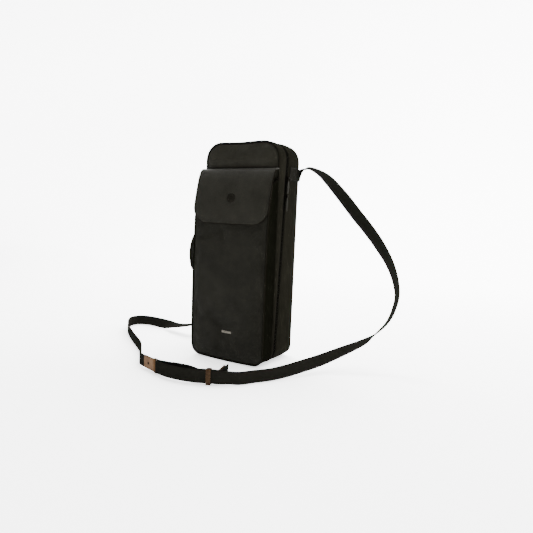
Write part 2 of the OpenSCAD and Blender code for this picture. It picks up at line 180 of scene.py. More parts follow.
class Piece:
    """Collects vertices in millimetres, faces and a cloth map in metres, and makes one object of them."""

    def __init__(self, name):
        self.name = name
        self.verts = []
        self.faces = []
        self.maps = []

    def grid(self, rows, closed_rows=False, closed_cols=False, flip=False, turn=False):
        """Adds a grid of points, rows by columns, with quads between them."""
        start = len(self.verts)
        count_r, count_c = len(rows), len(rows[0])
        for row in rows:
            self.verts.extend(tuple(float(c) for c in p) for p in row)
        along = [0.0]
        for i in range(1, count_r + 1):
            a, b = rows[i - 1][count_c // 2], rows[i % count_r][count_c // 2]
            along.append(along[-1] + math.dist(a, b))
        across = [0.0]
        mid = rows[count_r // 2]
        for k in range(1, count_c + 1):
            across.append(across[-1] + math.dist(mid[k - 1], mid[k % count_c]))
        for i in range(count_r if closed_rows else count_r - 1):
            for k in range(count_c if closed_cols else count_c - 1):
                i1, k1 = (i + 1) % count_r, (k + 1) % count_c
                quad = [start + i * count_c + k, start + i * count_c + k1,
                        start + i1 * count_c + k1, start + i1 * count_c + k]
                uv = [(across[k], along[i]), (across[k + 1], along[i]),
                      (across[k + 1], along[i + 1]), (across[k], along[i + 1])]
                if turn:
                    uv = [(v, u) for u, v in uv]
                if flip:
                    quad.reverse()
                    uv.reverse()
                self.faces.append(quad)
                self.maps.append([(u * MM, v * MM) for u, v in uv])
        return start

    def cap(self, indices):
        self.faces.append(list(indices))
        self.maps.append([(self.verts[i][0] * MM, self.verts[i][2] * MM) for i in indices])

    def tube(self, sections, closed=False, turn=False):
        """A closed cross-section swept through stations, with flat ends unless closed."""
        count = len(sections[0])
        start = self.grid(sections, closed_rows=closed, closed_cols=True, turn=turn)
        if not closed:
            self.cap([start + k for k in range(count)][::-1])
            last = start + (len(sections) - 1) * count
            self.cap([last + k for k in range(count)])

    def sheet(self, rows, thickness, outward):
        """A grid with a second layer behind it and closed edges; outward(row, column) is a unit direction."""
        back = [[np.array(p) - np.array(outward(i, k)) * thickness for k, p in enumerate(row)]
                for i, row in enumerate(rows)]
        a = self.grid(rows)
        b = self.grid(back, flip=True)
        n_r, n_c = len(rows), len(rows[0])
        rim = ([(0, k) for k in range(n_c)] + [(i, n_c - 1) for i in range(1, n_r)]
               + [(n_r - 1, k) for k in range(n_c - 2, -1, -1)] + [(i, 0) for i in range(n_r - 2, 0, -1)])
        for j, (i, k) in enumerate(rim):
            i1, k1 = rim[(j + 1) % len(rim)]
            quad = [a + i * n_c + k, b + i * n_c + k, b + i1 * n_c + k1, a + i1 * n_c + k1]
            self.faces.append(quad)
            self.maps.append([(self.verts[q][0] * MM, self.verts[q][2] * MM) for q in quad])

    def lathe(self, profile, place, axis, segments=32):
        """Turns (radius, height) points about an axis through place; the ends may have radius 0."""
        z = Vector(axis).normalized()
        x = z.orthogonal().normalized()
        y = z.cross(x)
        rows = []
        for r, h in profile:
            rows.append([tuple(Vector(place) + z * h + (x * math.cos(t) + y * math.sin(t)) * max(r, 0.01))
                         for t in ring_angles(segments)])
        self.tube(rows)

    def bevelled(self, size, matrix, bevel, segments=2):
        """A box of the given size with rounded edges, placed by a matrix in millimetres."""
        bm = bmesh.new()
        bmesh.ops.create_cube(bm, size=1.0)
        bmesh.ops.scale(bm, vec=Vector(size), verts=bm.verts)
        bmesh.ops.bevel(bm, geom=bm.edges[:], offset=bevel, segments=segments, profile=0.5, affect="EDGES")
        start = len(self.verts)
        bm.verts.index_update()
        for v in bm.verts:
            self.verts.append(tuple(matrix @ v.co))
        for f in bm.faces:
            self.faces.append([start + v.index for v in f.verts])
            self.maps.append([(v.co.x * MM + v.co.y * MM, v.co.z * MM) for v in f.verts])
        bm.free()

    def build(self, material, body=None, replaces=(), sharp=45):
        """Makes the object, rides it on its body and hides the CAD nodes it stands for."""
        me = bpy.data.meshes.new(self.name)
        me.from_pydata([tuple(c * MM for c in settle(v)) for v in self.verts], [], self.faces)
        layer = me.uv_layers.new(name="cloth")
        flat = [c for face in self.maps for uv in face for c in uv]
        layer.data.foreach_set("uv", flat)
        bm = bmesh.new()
        bm.from_mesh(me)
        bmesh.ops.recalc_face_normals(bm, faces=bm.faces)
        bm.to_mesh(me)
        bm.free()
        me.shade_smooth()
        me.set_sharp_from_angle(angle=math.radians(sharp))
        obj = bpy.data.objects.new(self.name, me)
        bpy.context.scene.collection.objects.link(obj)
        me.materials.append(material)
        if body:
            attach(obj, body)
        if replaces:
            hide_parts(*replaces)
        return obj


def round_bar(width, height, r, steps=3):
    """Cross-section of a bar with rounded corners, as (a, b) points."""
    out = []
    for cx, cz, start in ((1, 1, 0), (-1, 1, 90), (-1, -1, 180), (1, -1, 270)):
        for k in range(steps + 1):
            t = math.radians(start + 90 * k / steps)
            out.append((cx * (width / 2 - r) + r * math.cos(t), cz * (height / 2 - r) + r * math.sin(t)))
    return out


def sweep(piece, stations, section, closed=False):
    """Sweeps section(station) -> [(outward, depth), ...] along outline stations."""
    rows = []
    for x, z, nx, nz in stations:
        rows.append([(x + nx * o, y, z + nz * o) for o, y in section((x, z, nx, nz))])
    piece.tube(rows, closed=closed, turn=True)


def stitches(piece, points, normals, length=2.6, gap=1.2, r=0.32, lift=0.12):
    """Short raised threads along a polyline lying on a surface."""
    points = [Vector(p) for p in points]
    normals = [Vector(n) for n in normals]
    cum = [0.0]
    for a, b in zip(points, points[1:]):
        cum.append(cum[-1] + (b - a).length)
    total = cum[-1]

    def at(s):
        s = min(max(s, 0), total)
        for j in range(1, len(cum)):
            if s <= cum[j] or j == len(cum) - 1:
                t = (s - cum[j - 1]) / max(cum[j] - cum[j - 1], 1e-6)
                return points[j - 1].lerp(points[j], t), normals[j - 1].lerp(normals[j], t).normalized()
    s = gap
    shape = ((0.0, -0.25), (0.22, 0.55), (0.5, 1.0), (0.78, 0.55), (1.0, -0.25))
    while s + length < total:
        rows = []
        a, b = at(s)[0], at(s + length)[0]
        along = (b - a).normalized()
        for t, rise in shape:
            p, n = at(s + length * t)
            side = n.cross(along).normalized()
            c = p + n * (lift + r * rise * 0.8)
            rr = r * (0.55 if t in (0.0, 1.0) else 1.0)
            rows.append([tuple(c + (side * math.cos(q) + n * math.sin(q)) * rr)
                         for q in ring_angles(6)])
        piece.tube(rows)
        s += length + gap


# ---------- materials ----------

class Nodes:
    """Short way to build a node tree."""

    def __init__(self, name):
        self.mat = bpy.data.materials.new(name)
        self.mat.use_nodes = True
        self.tree = self.mat.node_tree
        self.bsdf = self.tree.nodes["Principled BSDF"]

    def add(self, kind, inputs=None, **settings):
        n = self.tree.nodes.new(kind)
        for key, value in settings.items():
            setattr(n, key, value)
        for key, value in (inputs or {}).items():
            self.put(n.inputs[key], value)
        return n

    def put(self, socket, value):
        if isinstance(value, bpy.types.NodeSocket):
            self.tree.links.new(value, socket)
        else:
            socket.default_value = value

    def maths(self, operation, a, b=0.0):
        n = self.add("ShaderNodeMath", {0: a, 1: b}, operation=operation)
        return n.outputs[0]

    def noise(self, scale, detail=3.0, rough=0.55, vector=None):
        n = self.add("ShaderNodeTexNoise", {"Scale": scale, "Detail": detail, "Roughness": rough})
        self.put(n.inputs["Vector"], vector or self.place())
        return n.outputs["Fac"]

    def place(self):
        if not hasattr(self, "_place"):
            self._place = self.add("ShaderNodeTexCoord").outputs["Object"]
        return self._place

    def cloth(self):
        if not hasattr(self, "_cloth"):
            self._cloth = self.add("ShaderNodeUVMap", uv_map="cloth").outputs["UV"]
        return self._cloth

    def mapped(self, vector, scale, turn=0.0):
        n = self.add("ShaderNodeMapping", {"Vector": vector, "Scale": scale, "Rotation": (0, 0, turn)})
        return n.outputs["Vector"]

    def ramp(self, fac, stops):
        n = self.add("ShaderNodeValToRGB", {"Fac": fac})
        ramp = n.color_ramp
        while len(ramp.elements) < len(stops):
            ramp.elements.new(0.5)
        for e, (at, colour) in zip(ramp.elements, stops):
            e.position = at
            e.color = (*colour, 1) if len(colour) == 3 else colour
        return n.outputs["Color"]

    def mix(self, fac, a, b):
        n = self.add("ShaderNodeMix", data_type="RGBA")
        self.put(n.inputs[0], fac)
        self.put(n.inputs[6], a if isinstance(a, bpy.types.NodeSocket) else (*a, 1))
        self.put(n.inputs[7], b if isinstance(b, bpy.types.NodeSocket) else (*b, 1))
        return n.outputs[2]

    def span(self, fac, low, high):
        n = self.add("ShaderNodeMapRange", {"Value": fac, "To Min": low, "To Max": high})
        return n.outputs[0]

    def bump(self, height, distance, strength=1.0, normal=None):
        n = self.add("ShaderNodeBump", {"Height": height, "Distance": distance, "Strength": strength})
        if normal:
            self.put(n.inputs["Normal"], normal)
        return n.outputs["Normal"]

    def shade(self, colour=None, roughness=None, normal=None, **values):
        for key, value in (("Base Color", colour), ("Roughness", roughness), ("Normal", normal)):
            if value is not None:
                self.put(self.bsdf.inputs[key], value)
        for key, value in values.items():
            self.bsdf.inputs[key.replace("_", " ")].default_value = value
        return self.mat


def weave(n, pitch):
    """Over-and-under threads on the cloth map: returns a height from 0 to 1."""
    uv = n.mapped(n.cloth(), (1 / pitch, 1 / pitch, 1))
    parts = n.add("ShaderNodeSeparateXYZ", {"Vector": uv})
    turn = 2 * math.pi
    wu = n.maths("SINE", n.maths("MULTIPLY", parts.outputs["X"], turn))
    wv = n.maths("SINE", n.maths("MULTIPLY", parts.outputs["Y"], turn))
    over = n.maths("MULTIPLY", wu, wv)
    ribs = n.maths("ADD", n.maths("ABSOLUTE", wu), n.maths("ABSOLUTE", wv))
    return n.maths("ADD", n.maths("MULTIPLY", over, 0.25), n.maths("MULTIPLY", ribs, 0.35))


def waxed_canvas(name, dark, light, pitch=0.0009, rough=(0.5, 0.72), sheen=0.0, specular=0.03):
    """Dense waxed canvas: fine weave, rubbed lighter patches, soft creases."""
    n = Nodes(name)
    threads = weave(n, pitch)
    patches = n.noise(14, 4, 0.6)
    creases = n.noise(55, 5, 0.65)
    fine = n.noise(900, 2, 0.5)
    tone = n.maths("ADD", n.maths("MULTIPLY", patches, 0.65), n.maths("MULTIPLY", creases, 0.35))
    tone = n.maths("ADD", tone, n.maths("MULTIPLY", n.maths("SUBTRACT", fine, 0.5), 0.5))
    base = n.ramp(tone, [(0.3, dark), (0.72, light)])
    base = n.mix(n.span(threads, 0.0, 0.55), base, tuple(c * 0.72 for c in dark))
    normal = n.bump(threads, 0.00022, 0.55)
    normal = n.bump(creases, 0.0016, 0.35, normal)
    return n.shade(base, n.span(tone, rough[1], rough[0]), normal,
                   Sheen_Weight=sheen, Sheen_Roughness=0.45, Specular_IOR_Level=specular)


def ribbed_webbing(name, dark, light, rib=0.0016):
    """Flat woven webbing with lengthwise ribs and a herringbone."""
    n = Nodes(name)
    parts = n.add("ShaderNodeSeparateXYZ", {"Vector": n.cloth()})
    across, along = parts.outputs["X"], parts.outputs["Y"]
    turn = 2 * math.pi
    ribs = n.maths("SINE", n.maths("MULTIPLY", across, turn / rib))
    zig = n.maths("PINGPONG", across, rib)
    slope = n.maths("ADD", n.maths("MULTIPLY", along, 1.0), n.maths("MULTIPLY", zig, 1.0))
    picks = n.maths("SINE", n.maths("MULTIPLY", slope, turn / 0.0011))
    height = n.maths("ADD", n.maths("MULTIPLY", ribs, 0.3), n.maths("MULTIPLY", picks, 0.3))
    worn = n.noise(30, 4, 0.6)
    fuzz = n.noise(1100, 2, 0.5)
    tone = n.maths("ADD", n.maths("MULTIPLY", worn, 0.6), n.maths("MULTIPLY", fuzz, 0.4))
    base = n.mix(n.span(tone, 0.05, 0.95), dark, light)
    base = n.mix(n.span(height, 0.4, 0.0), base, tuple(c * 0.5 for c in dark))
    normal = n.bump(height, 0.0003, 0.7)
    return n.shade(base, n.span(worn, 0.6, 0.8), normal, Specular_IOR_Level=0.0)


def grained_leather(name, dark, light, rough=(0.42, 0.66), grain=420, specular=0.1):
    """Leather with cell grain, pores and tone patches."""
    n = Nodes(name)
    cells = n.add("ShaderNodeTexVoronoi", {"Vector": n.place(), "Scale": grain}, feature="F1")
    cell = cells.outputs["Distance"]
    patches = n.noise(60, 4, 0.6)
    pores = n.noise(grain * 2.2, 3, 0.6)
    tone = n.maths("ADD", n.maths("MULTIPLY", patches, 0.75), n.maths("MULTIPLY", pores, 0.25))
    base = n.ramp(tone, [(0.3, dark), (0.7, light)])
    base = n.mix(n.span(cell, 0.35, 0.0), base, tuple(c * 0.55 for c in dark))
    normal = n.bump(cell, 0.00035, 0.45)
    normal = n.bump(patches, 0.0008, 0.3, normal)
    return n.shade(base, n.span(tone, rough[1], rough[0]), normal, Specular_IOR_Level=specular)


def worn_metal(name, dark, light, rough=(0.28, 0.5)):
    """Metal with a patina, fine brushing and small scratches."""
    n = Nodes(name)
    patina = n.noise(240, 5, 0.65)
    brushed = n.noise(500, 2, 0.5, n.mapped(n.place(), (1, 1, 14)))
    tone = n.maths("ADD", n.maths("MULTIPLY", patina, 0.7), n.maths("MULTIPLY", brushed, 0.3))
    base = n.ramp(tone, [(0.32, dark), (0.68, light)])
    normal = n.bump(brushed, 0.00004, 0.5)
    return n.shade(base, n.span(patina, rough[1], rough[0]), normal, Metallic=1.0,
                   Specular_Tint=(0.25, 0.25, 0.25, 1))


def plain_board(name, dark, light):
    """Pressed fibre board."""
    n = Nodes(name)
    fibres = n.noise(700, 4, 0.7, n.mapped(n.place(), (1, 1, 0.3)))
    blotch = n.noise(25, 3, 0.5)
    tone = n.maths("ADD", n.maths("MULTIPLY", fibres, 0.6), n.maths("MULTIPLY", blotch, 0.4))
    return n.shade(n.mix(tone, dark, light), n.span(fibres, 0.75, 0.9), n.bump(fibres, 0.0001, 0.5))


def thread(name, dark, light):
    """Sewing thread."""
    n = Nodes(name)
    twist = n.noise(2500, 2, 0.5)
    return n.shade(n.mix(twist, dark, light), n.span(twist, 0.5, 0.7), n.bump(twist, 0.0001, 0.6),
                   Specular_IOR_Level=0.05)


CANVAS = waxed_canvas("waxed_canvas", (0.0046, 0.0045, 0.0033), (0.0090, 0.0087, 0.0064))
# Painted light: the cover's front panel gets a lighter copy of the same canvas.
CANVAS_TOP_PAINTED_LIGHT = waxed_canvas("waxed_canvas_cover_painted_light", (0.0076, 0.0073, 0.0054), (0.0148, 0.0142, 0.0105))
# Painted shade: the side walls, the pocket hem and the handle tabs get a darker copy of the same canvas.
CANVAS_SIDE_PAINTED_SHADE = waxed_canvas("waxed_canvas_side_painted_shade", (0.0040, 0.0038, 0.0028), (0.0078, 0.0074, 0.0054),
                           specular=0.0)
# Painted shade: the pocket's side gusset gets a much darker copy of the same canvas, in place of a cast
# shadow.
CANVAS_POCKET_SIDE_PAINTED_SHADE = waxed_canvas("waxed_canvas_pocket_side_painted_shade", (0.0015, 0.0015, 0.0010), (0.0030, 0.0030, 0.0020),
                            specular=0.0)
# Painted light: the flap and the handle's grip pad get a lighter copy of the same canvas.
CANVAS_FLAP_PAINTED_LIGHT = waxed_canvas("waxed_canvas_flap_painted_light", (0.0073, 0.0070, 0.0053), (0.0136, 0.0131, 0.0099),
                           rough=(0.46, 0.68), sheen=0.02)
BINDING = waxed_canvas("edge_binding", (0.0034, 0.0032, 0.0024), (0.0072, 0.0068, 0.0050), pitch=0.0007,
                       rough=(0.5, 0.7), specular=0.0)
LINING = waxed_canvas("woven_lining", (0.022, 0.021, 0.017), (0.036, 0.034, 0.028), pitch=0.0006,
                      rough=(0.7, 0.88))
WEBBING = ribbed_webbing("ribbed_webbing", (0.0048, 0.0047, 0.0038), (0.0105, 0.0102, 0.0082))
TAPE = ribbed_webbing("zip_tape", (0.0022, 0.0022, 0.0019), (0.0046, 0.0045, 0.0038), rib=0.0009)
DARK_LEATHER = grained_leather("dark_leather", (0.0042, 0.0040, 0.0030), (0.0088, 0.0083, 0.0062),
                               specular=0.01)
TAN_LEATHER = grained_leather("tan_leather", (0.050, 0.023, 0.0085), (0.105, 0.054, 0.021), rough=(0.55, 0.8),
                              grain=600, specular=0.1)
BROWN_LEATHER = grained_leather("brown_edge_leather", (0.018, 0.0095, 0.0045), (0.042, 0.024, 0.011),
                                rough=(0.55, 0.8), grain=600, specular=0.04)
DARK_METAL = worn_metal("dark_metal", (0.0020, 0.0018, 0.0015), (0.006, 0.0055, 0.0045), rough=(0.5, 0.7))
COPPER = worn_metal("worn_copper", (0.010, 0.0060, 0.0034), (0.036, 0.022, 0.013), rough=(0.4, 0.6))
BADGE = worn_metal("badge_metal", (0.05, 0.047, 0.040), (0.12, 0.113, 0.097), rough=(0.35, 0.5))
BOARD = plain_board("fibre_board", (0.04, 0.034, 0.024), (0.07, 0.06, 0.045))
THREAD = thread("dark_thread", (0.0032, 0.0030, 0.0024), (0.0075, 0.0071, 0.0056))
TAN_THREAD = thread("tan_thread", (0.07, 0.04, 0.02), (0.13, 0.085, 0.048))


# ---------- panels ----------

def rim_distance(x, z, low=LOW, high=HIGH, top_r=TOP_R, bottom_r=BOTTOM_R):
    """Distance from a point inside the rounded outline to its rim."""
    dx, up_gap, down_gap = HALF_W - abs(x), high - z, z - low
    if dx < top_r and up_gap < top_r:
        return top_r - math.hypot(top_r - dx, top_r - up_gap)
    if dx < bottom_r and down_gap < bottom_r:
        return bottom_r - math.hypot(bottom_r - dx, bottom_r - down_gap)
    return min(dx, up_gap, down_gap)


def levels(low, high, top_r, bottom_r, step):
    """Heights of a panel's rows, close together in the corners."""
    zs = [low + bottom_r * (1 - math.cos(math.radians(a))) for a in range(0, 90, 10)] if bottom_r else []
    start, end = low + bottom_r, high - top_r
    count = max(2, round((end - start) / step))
    zs += [start + (end - start) * k / count for k in range(count + 1)]
    if top_r:
        zs += [high - top_r * (1 - math.cos(math.radians(a))) for a in range(80, -1, -10)]
    return zs


OPEN_TOP = 60  # how far past its top an open-topped panel's outline goes on


def padded_y(x, z, inset, depth, facing, crown, low=LOW, high=HIGH, top_r=TOP_R, bottom_r=BOTTOM_R,
             ripple=0.5, seed=0.0, rim_drop=1.6, fall=22, lean=None):
    """Depth of a crowned panel: depth is its y at the rim, facing the sign of y it looks to."""
    high, top_r, bottom_r = high if top_r else high + OPEN_TOP, top_r or 1, bottom_r or 1
    d = max(rim_distance(x, z, low, high, top_r=top_r, bottom_r=bottom_r) - inset, 0)
    if callable(crown):
        crown = crown(z)
    rise = crown * (1 - math.exp(-d / fall)) + rim_drop * (1 - math.exp(-d / 2.2)) - rim_drop
    fade = 1 - math.exp(-d / 14)
    rise += fade * ripple * (wobble((x, 0, z), 70, seed) * 1.6 + wobble((x, 3, z), 26, seed) * 0.5)
    return depth + facing * rise + (lean(z) if lean else 0)


def padded_rows(inset, step=6, columns=38, **shape):
    """Grid of points over a crowned panel inside the rounded outline."""
    low, high = shape.get("low", LOW), shape.get("high", HIGH)
    top_r, bottom_r = shape.get("top_r", TOP_R), shape.get("bottom_r", BOTTOM_R)
    rows = []
    for z in levels(low + inset, high - inset, max(top_r - inset, 0) if top_r else 0,
                    max(bottom_r - inset, 0) if bottom_r else 0, step):
        half = half_width(z, inset, low=low, high=high if top_r else high + OPEN_TOP,
                          top_r=top_r or 1, bottom_r=bottom_r or 1)
        row = []
        for k in range(columns + 1):
            u = math.sin(math.radians(-90 + 180 * k / columns)) * 0.5 + (2 * k / columns - 1) * 0.5
            row.append((u * half, padded_y(u * half, z, inset, **shape), z))
        rows.append(row)
    return rows


def panel(name, rows, thickness, facing, material, body, replaces):
    """A canvas sheet from a grid of points, facing -1 for the front and 1 for the back."""
    piece = Piece(name)
    piece.sheet(rows, thickness, lambda i, k: (0, facing, 0))
    return piece.build(material, body, replaces)


SETTLE_FRAMES = 14


def cloth_settle(obj, pressure=0.25, cap=1.6, keep_rim=9, high=HIGH, holds=()):
    """Lets a panel's cloth puff and crease a little between its sewn edges and holds (x, z, reach)."""
    me = obj.data
    rest = np.array([v.co for v in me.vertices])
    group = obj.vertex_groups.new(name="sewn")
    for v in me.vertices:
        x, z = v.co.x / MM, v.co.z / MM
        fixed = rim_distance(x, z) < keep_rim or z > high - keep_rim
        fixed = fixed or any(math.hypot(x - hx, z - hz) < reach for hx, hz, reach in holds)
        group.add([v.index], 1.0 if fixed else 0.0, "REPLACE")
    mod = obj.modifiers.new("cloth", "CLOTH")
    s = mod.settings
    s.vertex_group_mass = "sewn"
    s.quality = 5
    s.mass = 0.4
    s.tension_stiffness = s.compression_stiffness = 12
    s.shear_stiffness = 6
    s.bending_stiffness = 3
    s.shrink_min = -0.012
    s.use_pressure = True
    s.uniform_pressure_force = pressure
    s.effector_weights.gravity = 0
    mod.collision_settings.use_collision = False
    scene = bpy.context.scene
    for f in range(1, SETTLE_FRAMES + 1):
        scene.frame_set(f)
    dg = bpy.context.evaluated_depsgraph_get()
    now = np.array([v.co for v in obj.evaluated_get(dg).data.vertices])
    obj.modifiers.remove(mod)
    obj.vertex_groups.remove(group)
    scene.frame_set(1)
    move = now - rest
    size = np.linalg.norm(move, axis=1, keepdims=True)
    move *= np.minimum(1, cap * MM / np.maximum(size, 1e-9))
    me.vertices.foreach_set("co", (rest + move).ravel())
    me.update()


# Front and back of the main compartment
SWELL_Z, SWELL_RUN = 398, 26


def front_crown(z):
    """The cover's panel swells above the flap, where no pocket holds it flat."""
    t = min(max((z - SWELL_Z) / SWELL_RUN, 0), 1)
    return 2.6 + 6.6 * t * t * (3 - 2 * t)


PANEL_IN = 2.4  # from the outline to a panel's sewn edge
PANEL_T = 2.4
FRONT_SHAPE = dict(depth=FRONT_Y + 1.6, facing=-1, crown=front_crown, ripple=0.9, seed=1.3, fall=15)
BACK_SHAPE = dict(depth=BACK_Y - 1.3, facing=1, crown=3.4, ripple=0.7, seed=4.1)
# The front panel takes the lighter canvas copy, which is painted light.
front = panel("front_panel_canvas", padded_rows(PANEL_IN, **FRONT_SHAPE), PANEL_T, -1, CANVAS_TOP_PAINTED_LIGHT,
              "front_cover", ["front_panel"])
back = panel("back_panel_canvas", padded_rows(PANEL_IN, **BACK_SHAPE), PANEL_T, 1, CANVAS,
             "rear_shell", ["back_panel"])
cloth_settle(front)
cloth_settle(back)


# ---------- sides of the two halves ----------

def side_section(y0, y1, bulge, thickness, fold, station, seed):
    """Padded wall between two depths, as a closed section of (outward, depth) points."""
    width = y1 - y0
    fold = min(fold, width / 4)
    x, z = station[:2]
    ripple = wobble((x, y0, z), 34, seed) * 0.5 + wobble((x, y1, z), 13, seed) * 0.15
    out = [(-0.9, y0)]
    for k in range(9):
        t = k / 8
        y = y0 + fold * 0.5 + (width - fold) * t
        edge = 1 - (2 * t - 1) ** 6
        fine = wobble((x, y, z), 24, seed) * 0.35
        swell = bulge * math.sin(math.pi * t) ** 0.8 + (ripple + fine) * min(1, width / 20)
        out.append((-0.15 + edge * swell, y))
    out += [(-0.9, y1), (-thickness + 0.4, y1), (-thickness, y1 - fold * 0.4),
            (-thickness, (y0 + y1) / 2), (-thickness, y0 + fold * 0.4), (-thickness + 0.4, y0)]
    return out


def side_piece(name, stations, span, bulge, body, node, seed):
    """Side wall along an outline; span gives its two depths at a height."""
    piece = Piece(name)
    sweep(piece, stations,
          lambda s: side_section(*span(s[1]), bulge, WALL - 0.1, 2.2, s, seed))
    # The side walls take the darker canvas copy, which is painted shade.
    return piece.build(CANVAS_SIDE_PAINTED_SHADE, body, [node])


EDGE = 2.7
ZIP_EDGE = TAPE_END - 0.6
SPINE_GAP = 0.3
side_piece("rear_side_canvas", outline_right(), lambda z: (zip_plane(z) + ZIP_EDGE, BACK_Y - EDGE), 1.5,
           "rear_shell", "rear_gusset", 0.7)
side_piece("front_side_canvas", outline_right(), lambda z: (FRONT_Y + EDGE, zip_plane(z) - ZIP_EDGE), 0.7,
           "front_cover", "front_gusset", 2.1)
side_piece("rear_spine_canvas", outline_left(), lambda z: (zip_plane(z) + SPINE_GAP, BACK_Y - EDGE), 1.3,
           "rear_shell", "rear_spine", 3.3)
side_piece("front_spine_canvas", outline_left(), lambda z: (FRONT_Y + EDGE, zip_plane(z) - SPINE_GAP), 0.6,
           "front_cover", "front_spine", 5.2)


def piping(name, y, body, node):
    """Cord-filled edge binding with a slight unevenness."""
    piece = Piece(name)

    def section(s):
        r = PIPING_R * (1 + 0.05 * wobble((s[0], y, s[1]), 18, 2.0))
        return [(-PIPING_IN + r * math.cos(q), y + r * math.sin(q)) for q in ring_angles(10)]
    sweep(piece, outline_whole(), section, closed=True)
    return piece.build(BINDING, body, [node])


PIPING_R, PIPING_IN = 1.75, 1.6
piping("rear_edge_piping", BACK_Y - 1.5, "rear_shell", "rear_piping")
piping("front_edge_piping", FRONT_Y + 1.5, "front_cover", "front_piping")


# ---------- zip ----------

TOOTH_PITCH = 2.3


def zip_half(side, body):
    """Tape and separate teeth on one half: side is 1 behind the zip plane and -1 in front."""
    label = "rear" if side > 0 else "front"
    tape = Piece(label + "_zip_tape_cloth")

    def section(s):
        y = zip_plane(s[1])
        a, b = y + side * 1.3, y + side * (TAPE_END + 1.2)
        return [(-1.2, a), (-1.1, (a + b) / 2), (-1.3, b), (-2.1, b), (-2.2, (a + b) / 2), (-2.2, a)]
    sweep(tape, outline_right(), section)
    tape.build(TAPE, body, [label + "_zip_tape"])
    teeth = Piece(label + "_zip_teeth_row")
    outline = outline_right(step=2)
    travelled, due = 0.0, TOOTH_PITCH * (0.5 if side > 0 else 1.0)
    for (x0, z0, _, _), (x1, z1, nx, nz) in zip(outline, outline[1:]):
        gap = math.hypot(x1 - x0, z1 - z0)
        while due <= travelled + gap:
            t = (due - travelled) / gap
            x, z = x0 + (x1 - x0) * t, z0 + (z1 - z0) * t
            out = Vector((nx, 0, nz)).normalized()
            depth = Vector((0, 1, 0))
            run = depth.cross(out)
            centre = Vector((x, zip_plane(z) + side * 1.25, z)) - out * 1.5
            m = Matrix((run, depth, out)).transposed().to_4x4()
            m.translation = centre
            teeth.bevelled((1.35, 2.3, 2.3), m, 0.35, 1)
            due += TOOTH_PITCH
        travelled += gap
    teeth.build(DARK_METAL, body, [label + "_zip_teeth"])


zip_half(1, "rear_shell")
zip_half(-1, "front_cover")


# ---------- linings, boards and sleeves inside ----------

def lining_tray(name, side, body, node):
    """Cloth tray inside one half: walls along the outline and a crowned floor."""
    floor_y = (BACK_Y - WALL - 2.6) if side > 0 else (FRONT_Y + WALL + 2.6)
    piece = Piece(name)

    def section(s):
        mouth = zip_plane(s[1]) + side * (TAPE_END + 0.8)
        depth = floor_y - mouth
        soft = wobble((s[0], 0, s[1]), 30, 1.7) * 0.25
        outer = [(-WALL - 0.1, mouth), (-WALL - 0.1, mouth + depth * 0.5), (-WALL - 0.4, floor_y - side)]
        inner = [(-WALL - 1.6, floor_y - side * 1.2), (-WALL - 0.95 + soft, mouth + depth * 0.5),
                 (-WALL - 0.9, mouth)]
        return outer + inner
    sweep(piece, outline_whole(), section, closed=True)
    rows = padded_rows(WALL + 0.5, depth=floor_y, facing=-side, crown=0.5, ripple=0.3, seed=8.0, rim_drop=0.6,
                       columns=24, step=12)
    piece.sheet(rows, 0.6, lambda i, k: (0, -side, 0))
    return piece.build(LINING, body, [node])


lining_tray("rear_lining_cloth", 1, "rear_shell", "rear_lining")
lining_tray("front_lining_cloth", -1, "front_cover", "front_lining")
for node in ("back_board", "front_board"):
    frame["nodes"][node].data.materials.clear()
    frame["nodes"][node].data.materials.append(BOARD)

sleeve_low, sleeve_high = node_box("stick_pocket_panel")
divider_low, divider_high = node_box("stick_pocket_dividers")
DIVIDER_X = divider_high[0] - 0.75


SLEEVE_BULGE = 4.5


def sleeve_bulge(x):
    """Share of the stick sleeves' forward bulge: three soft tubes between the seams."""
    seams = [sleeve_low[0], -DIVIDER_X, DIVIDER_X, sleeve_high[0]]
    for a, b in zip(seams, seams[1:]):
        if a <= x <= b:
            return math.sin(math.pi * (x - a) / (b - a)) ** 0.7
    return 0.0


def sleeve_rows():
    """Grid of points over the front of the stick sleeves."""
    rows = []
    for z in levels(sleeve_low[2], sleeve_high[2], 0, BOTTOM_R - WALL - 1, 9):
        half = half_width(z, WALL + 1.2)
        row = []
        for k in range(61):
            x = -half + 2 * half * k / 60
            rise = min(1, (z - sleeve_low[2]) / 25 + 0.2)
            y = sleeve_low[1] + 0.8 - SLEEVE_BULGE * rise * sleeve_bulge(x) + 0.5 * wobble((x, 0, z), 25, 6.0)
            row.append((x, y, z))
        rows.append(row)
    return rows


sleeves = Piece("stick_sleeve_cloth")
sleeves.sheet(sleeve_rows(), 1.0, lambda i, k: (0, -1, 0))
sleeves.build(LINING, "rear_shell", ["stick_pocket_panel"])

band = Piece("stick_sleeve_elastic")
band_low, band_high = node_box("stick_pocket_binding")
rows = []
for k in range(89):
    x = band_low[0] + (band_high[0] - band_low[0]) * k / 88
    y = sleeve_low[1] + 0.3 - SLEEVE_BULGE * sleeve_bulge(x) + 0.25 * math.sin(x * 1.6)
    rows.append([(x, y + dy, band_low[2] - 3 + dz)
                 for dy, dz in ((-1.1, 0.4), (-1.35, 3), (-1.3, 8), (-0.9, 10.8), (0.4, 11), (1.5, 10.6),
                                (1.6, 8), (1.5, 0.2))])
band.tube(rows)
band.build(WEBBING, "rear_shell", ["stick_pocket_binding"])

dividers = Piece("stick_sleeve_partitions")
for x in (-DIVIDER_X, DIVIDER_X):
    rows = []
    for z in levels(divider_low[2], divider_high[2], 0, 0, 12):
        row = []
        for k in range(7):
            y = sleeve_low[1] + 1.2 + (divider_high[1] - sleeve_low[1] - 1.6) * k / 6
            row.append((x + 0.6 + 1.2 * math.sin(math.pi * k / 6) * wobble((x, y, z), 45, 3.0), y, z))
        rows.append(row)
    dividers.sheet(rows, 1.1, lambda i, k: (1, 0, 0))
dividers.build(LINING, "rear_shell", ["stick_pocket_dividers"])

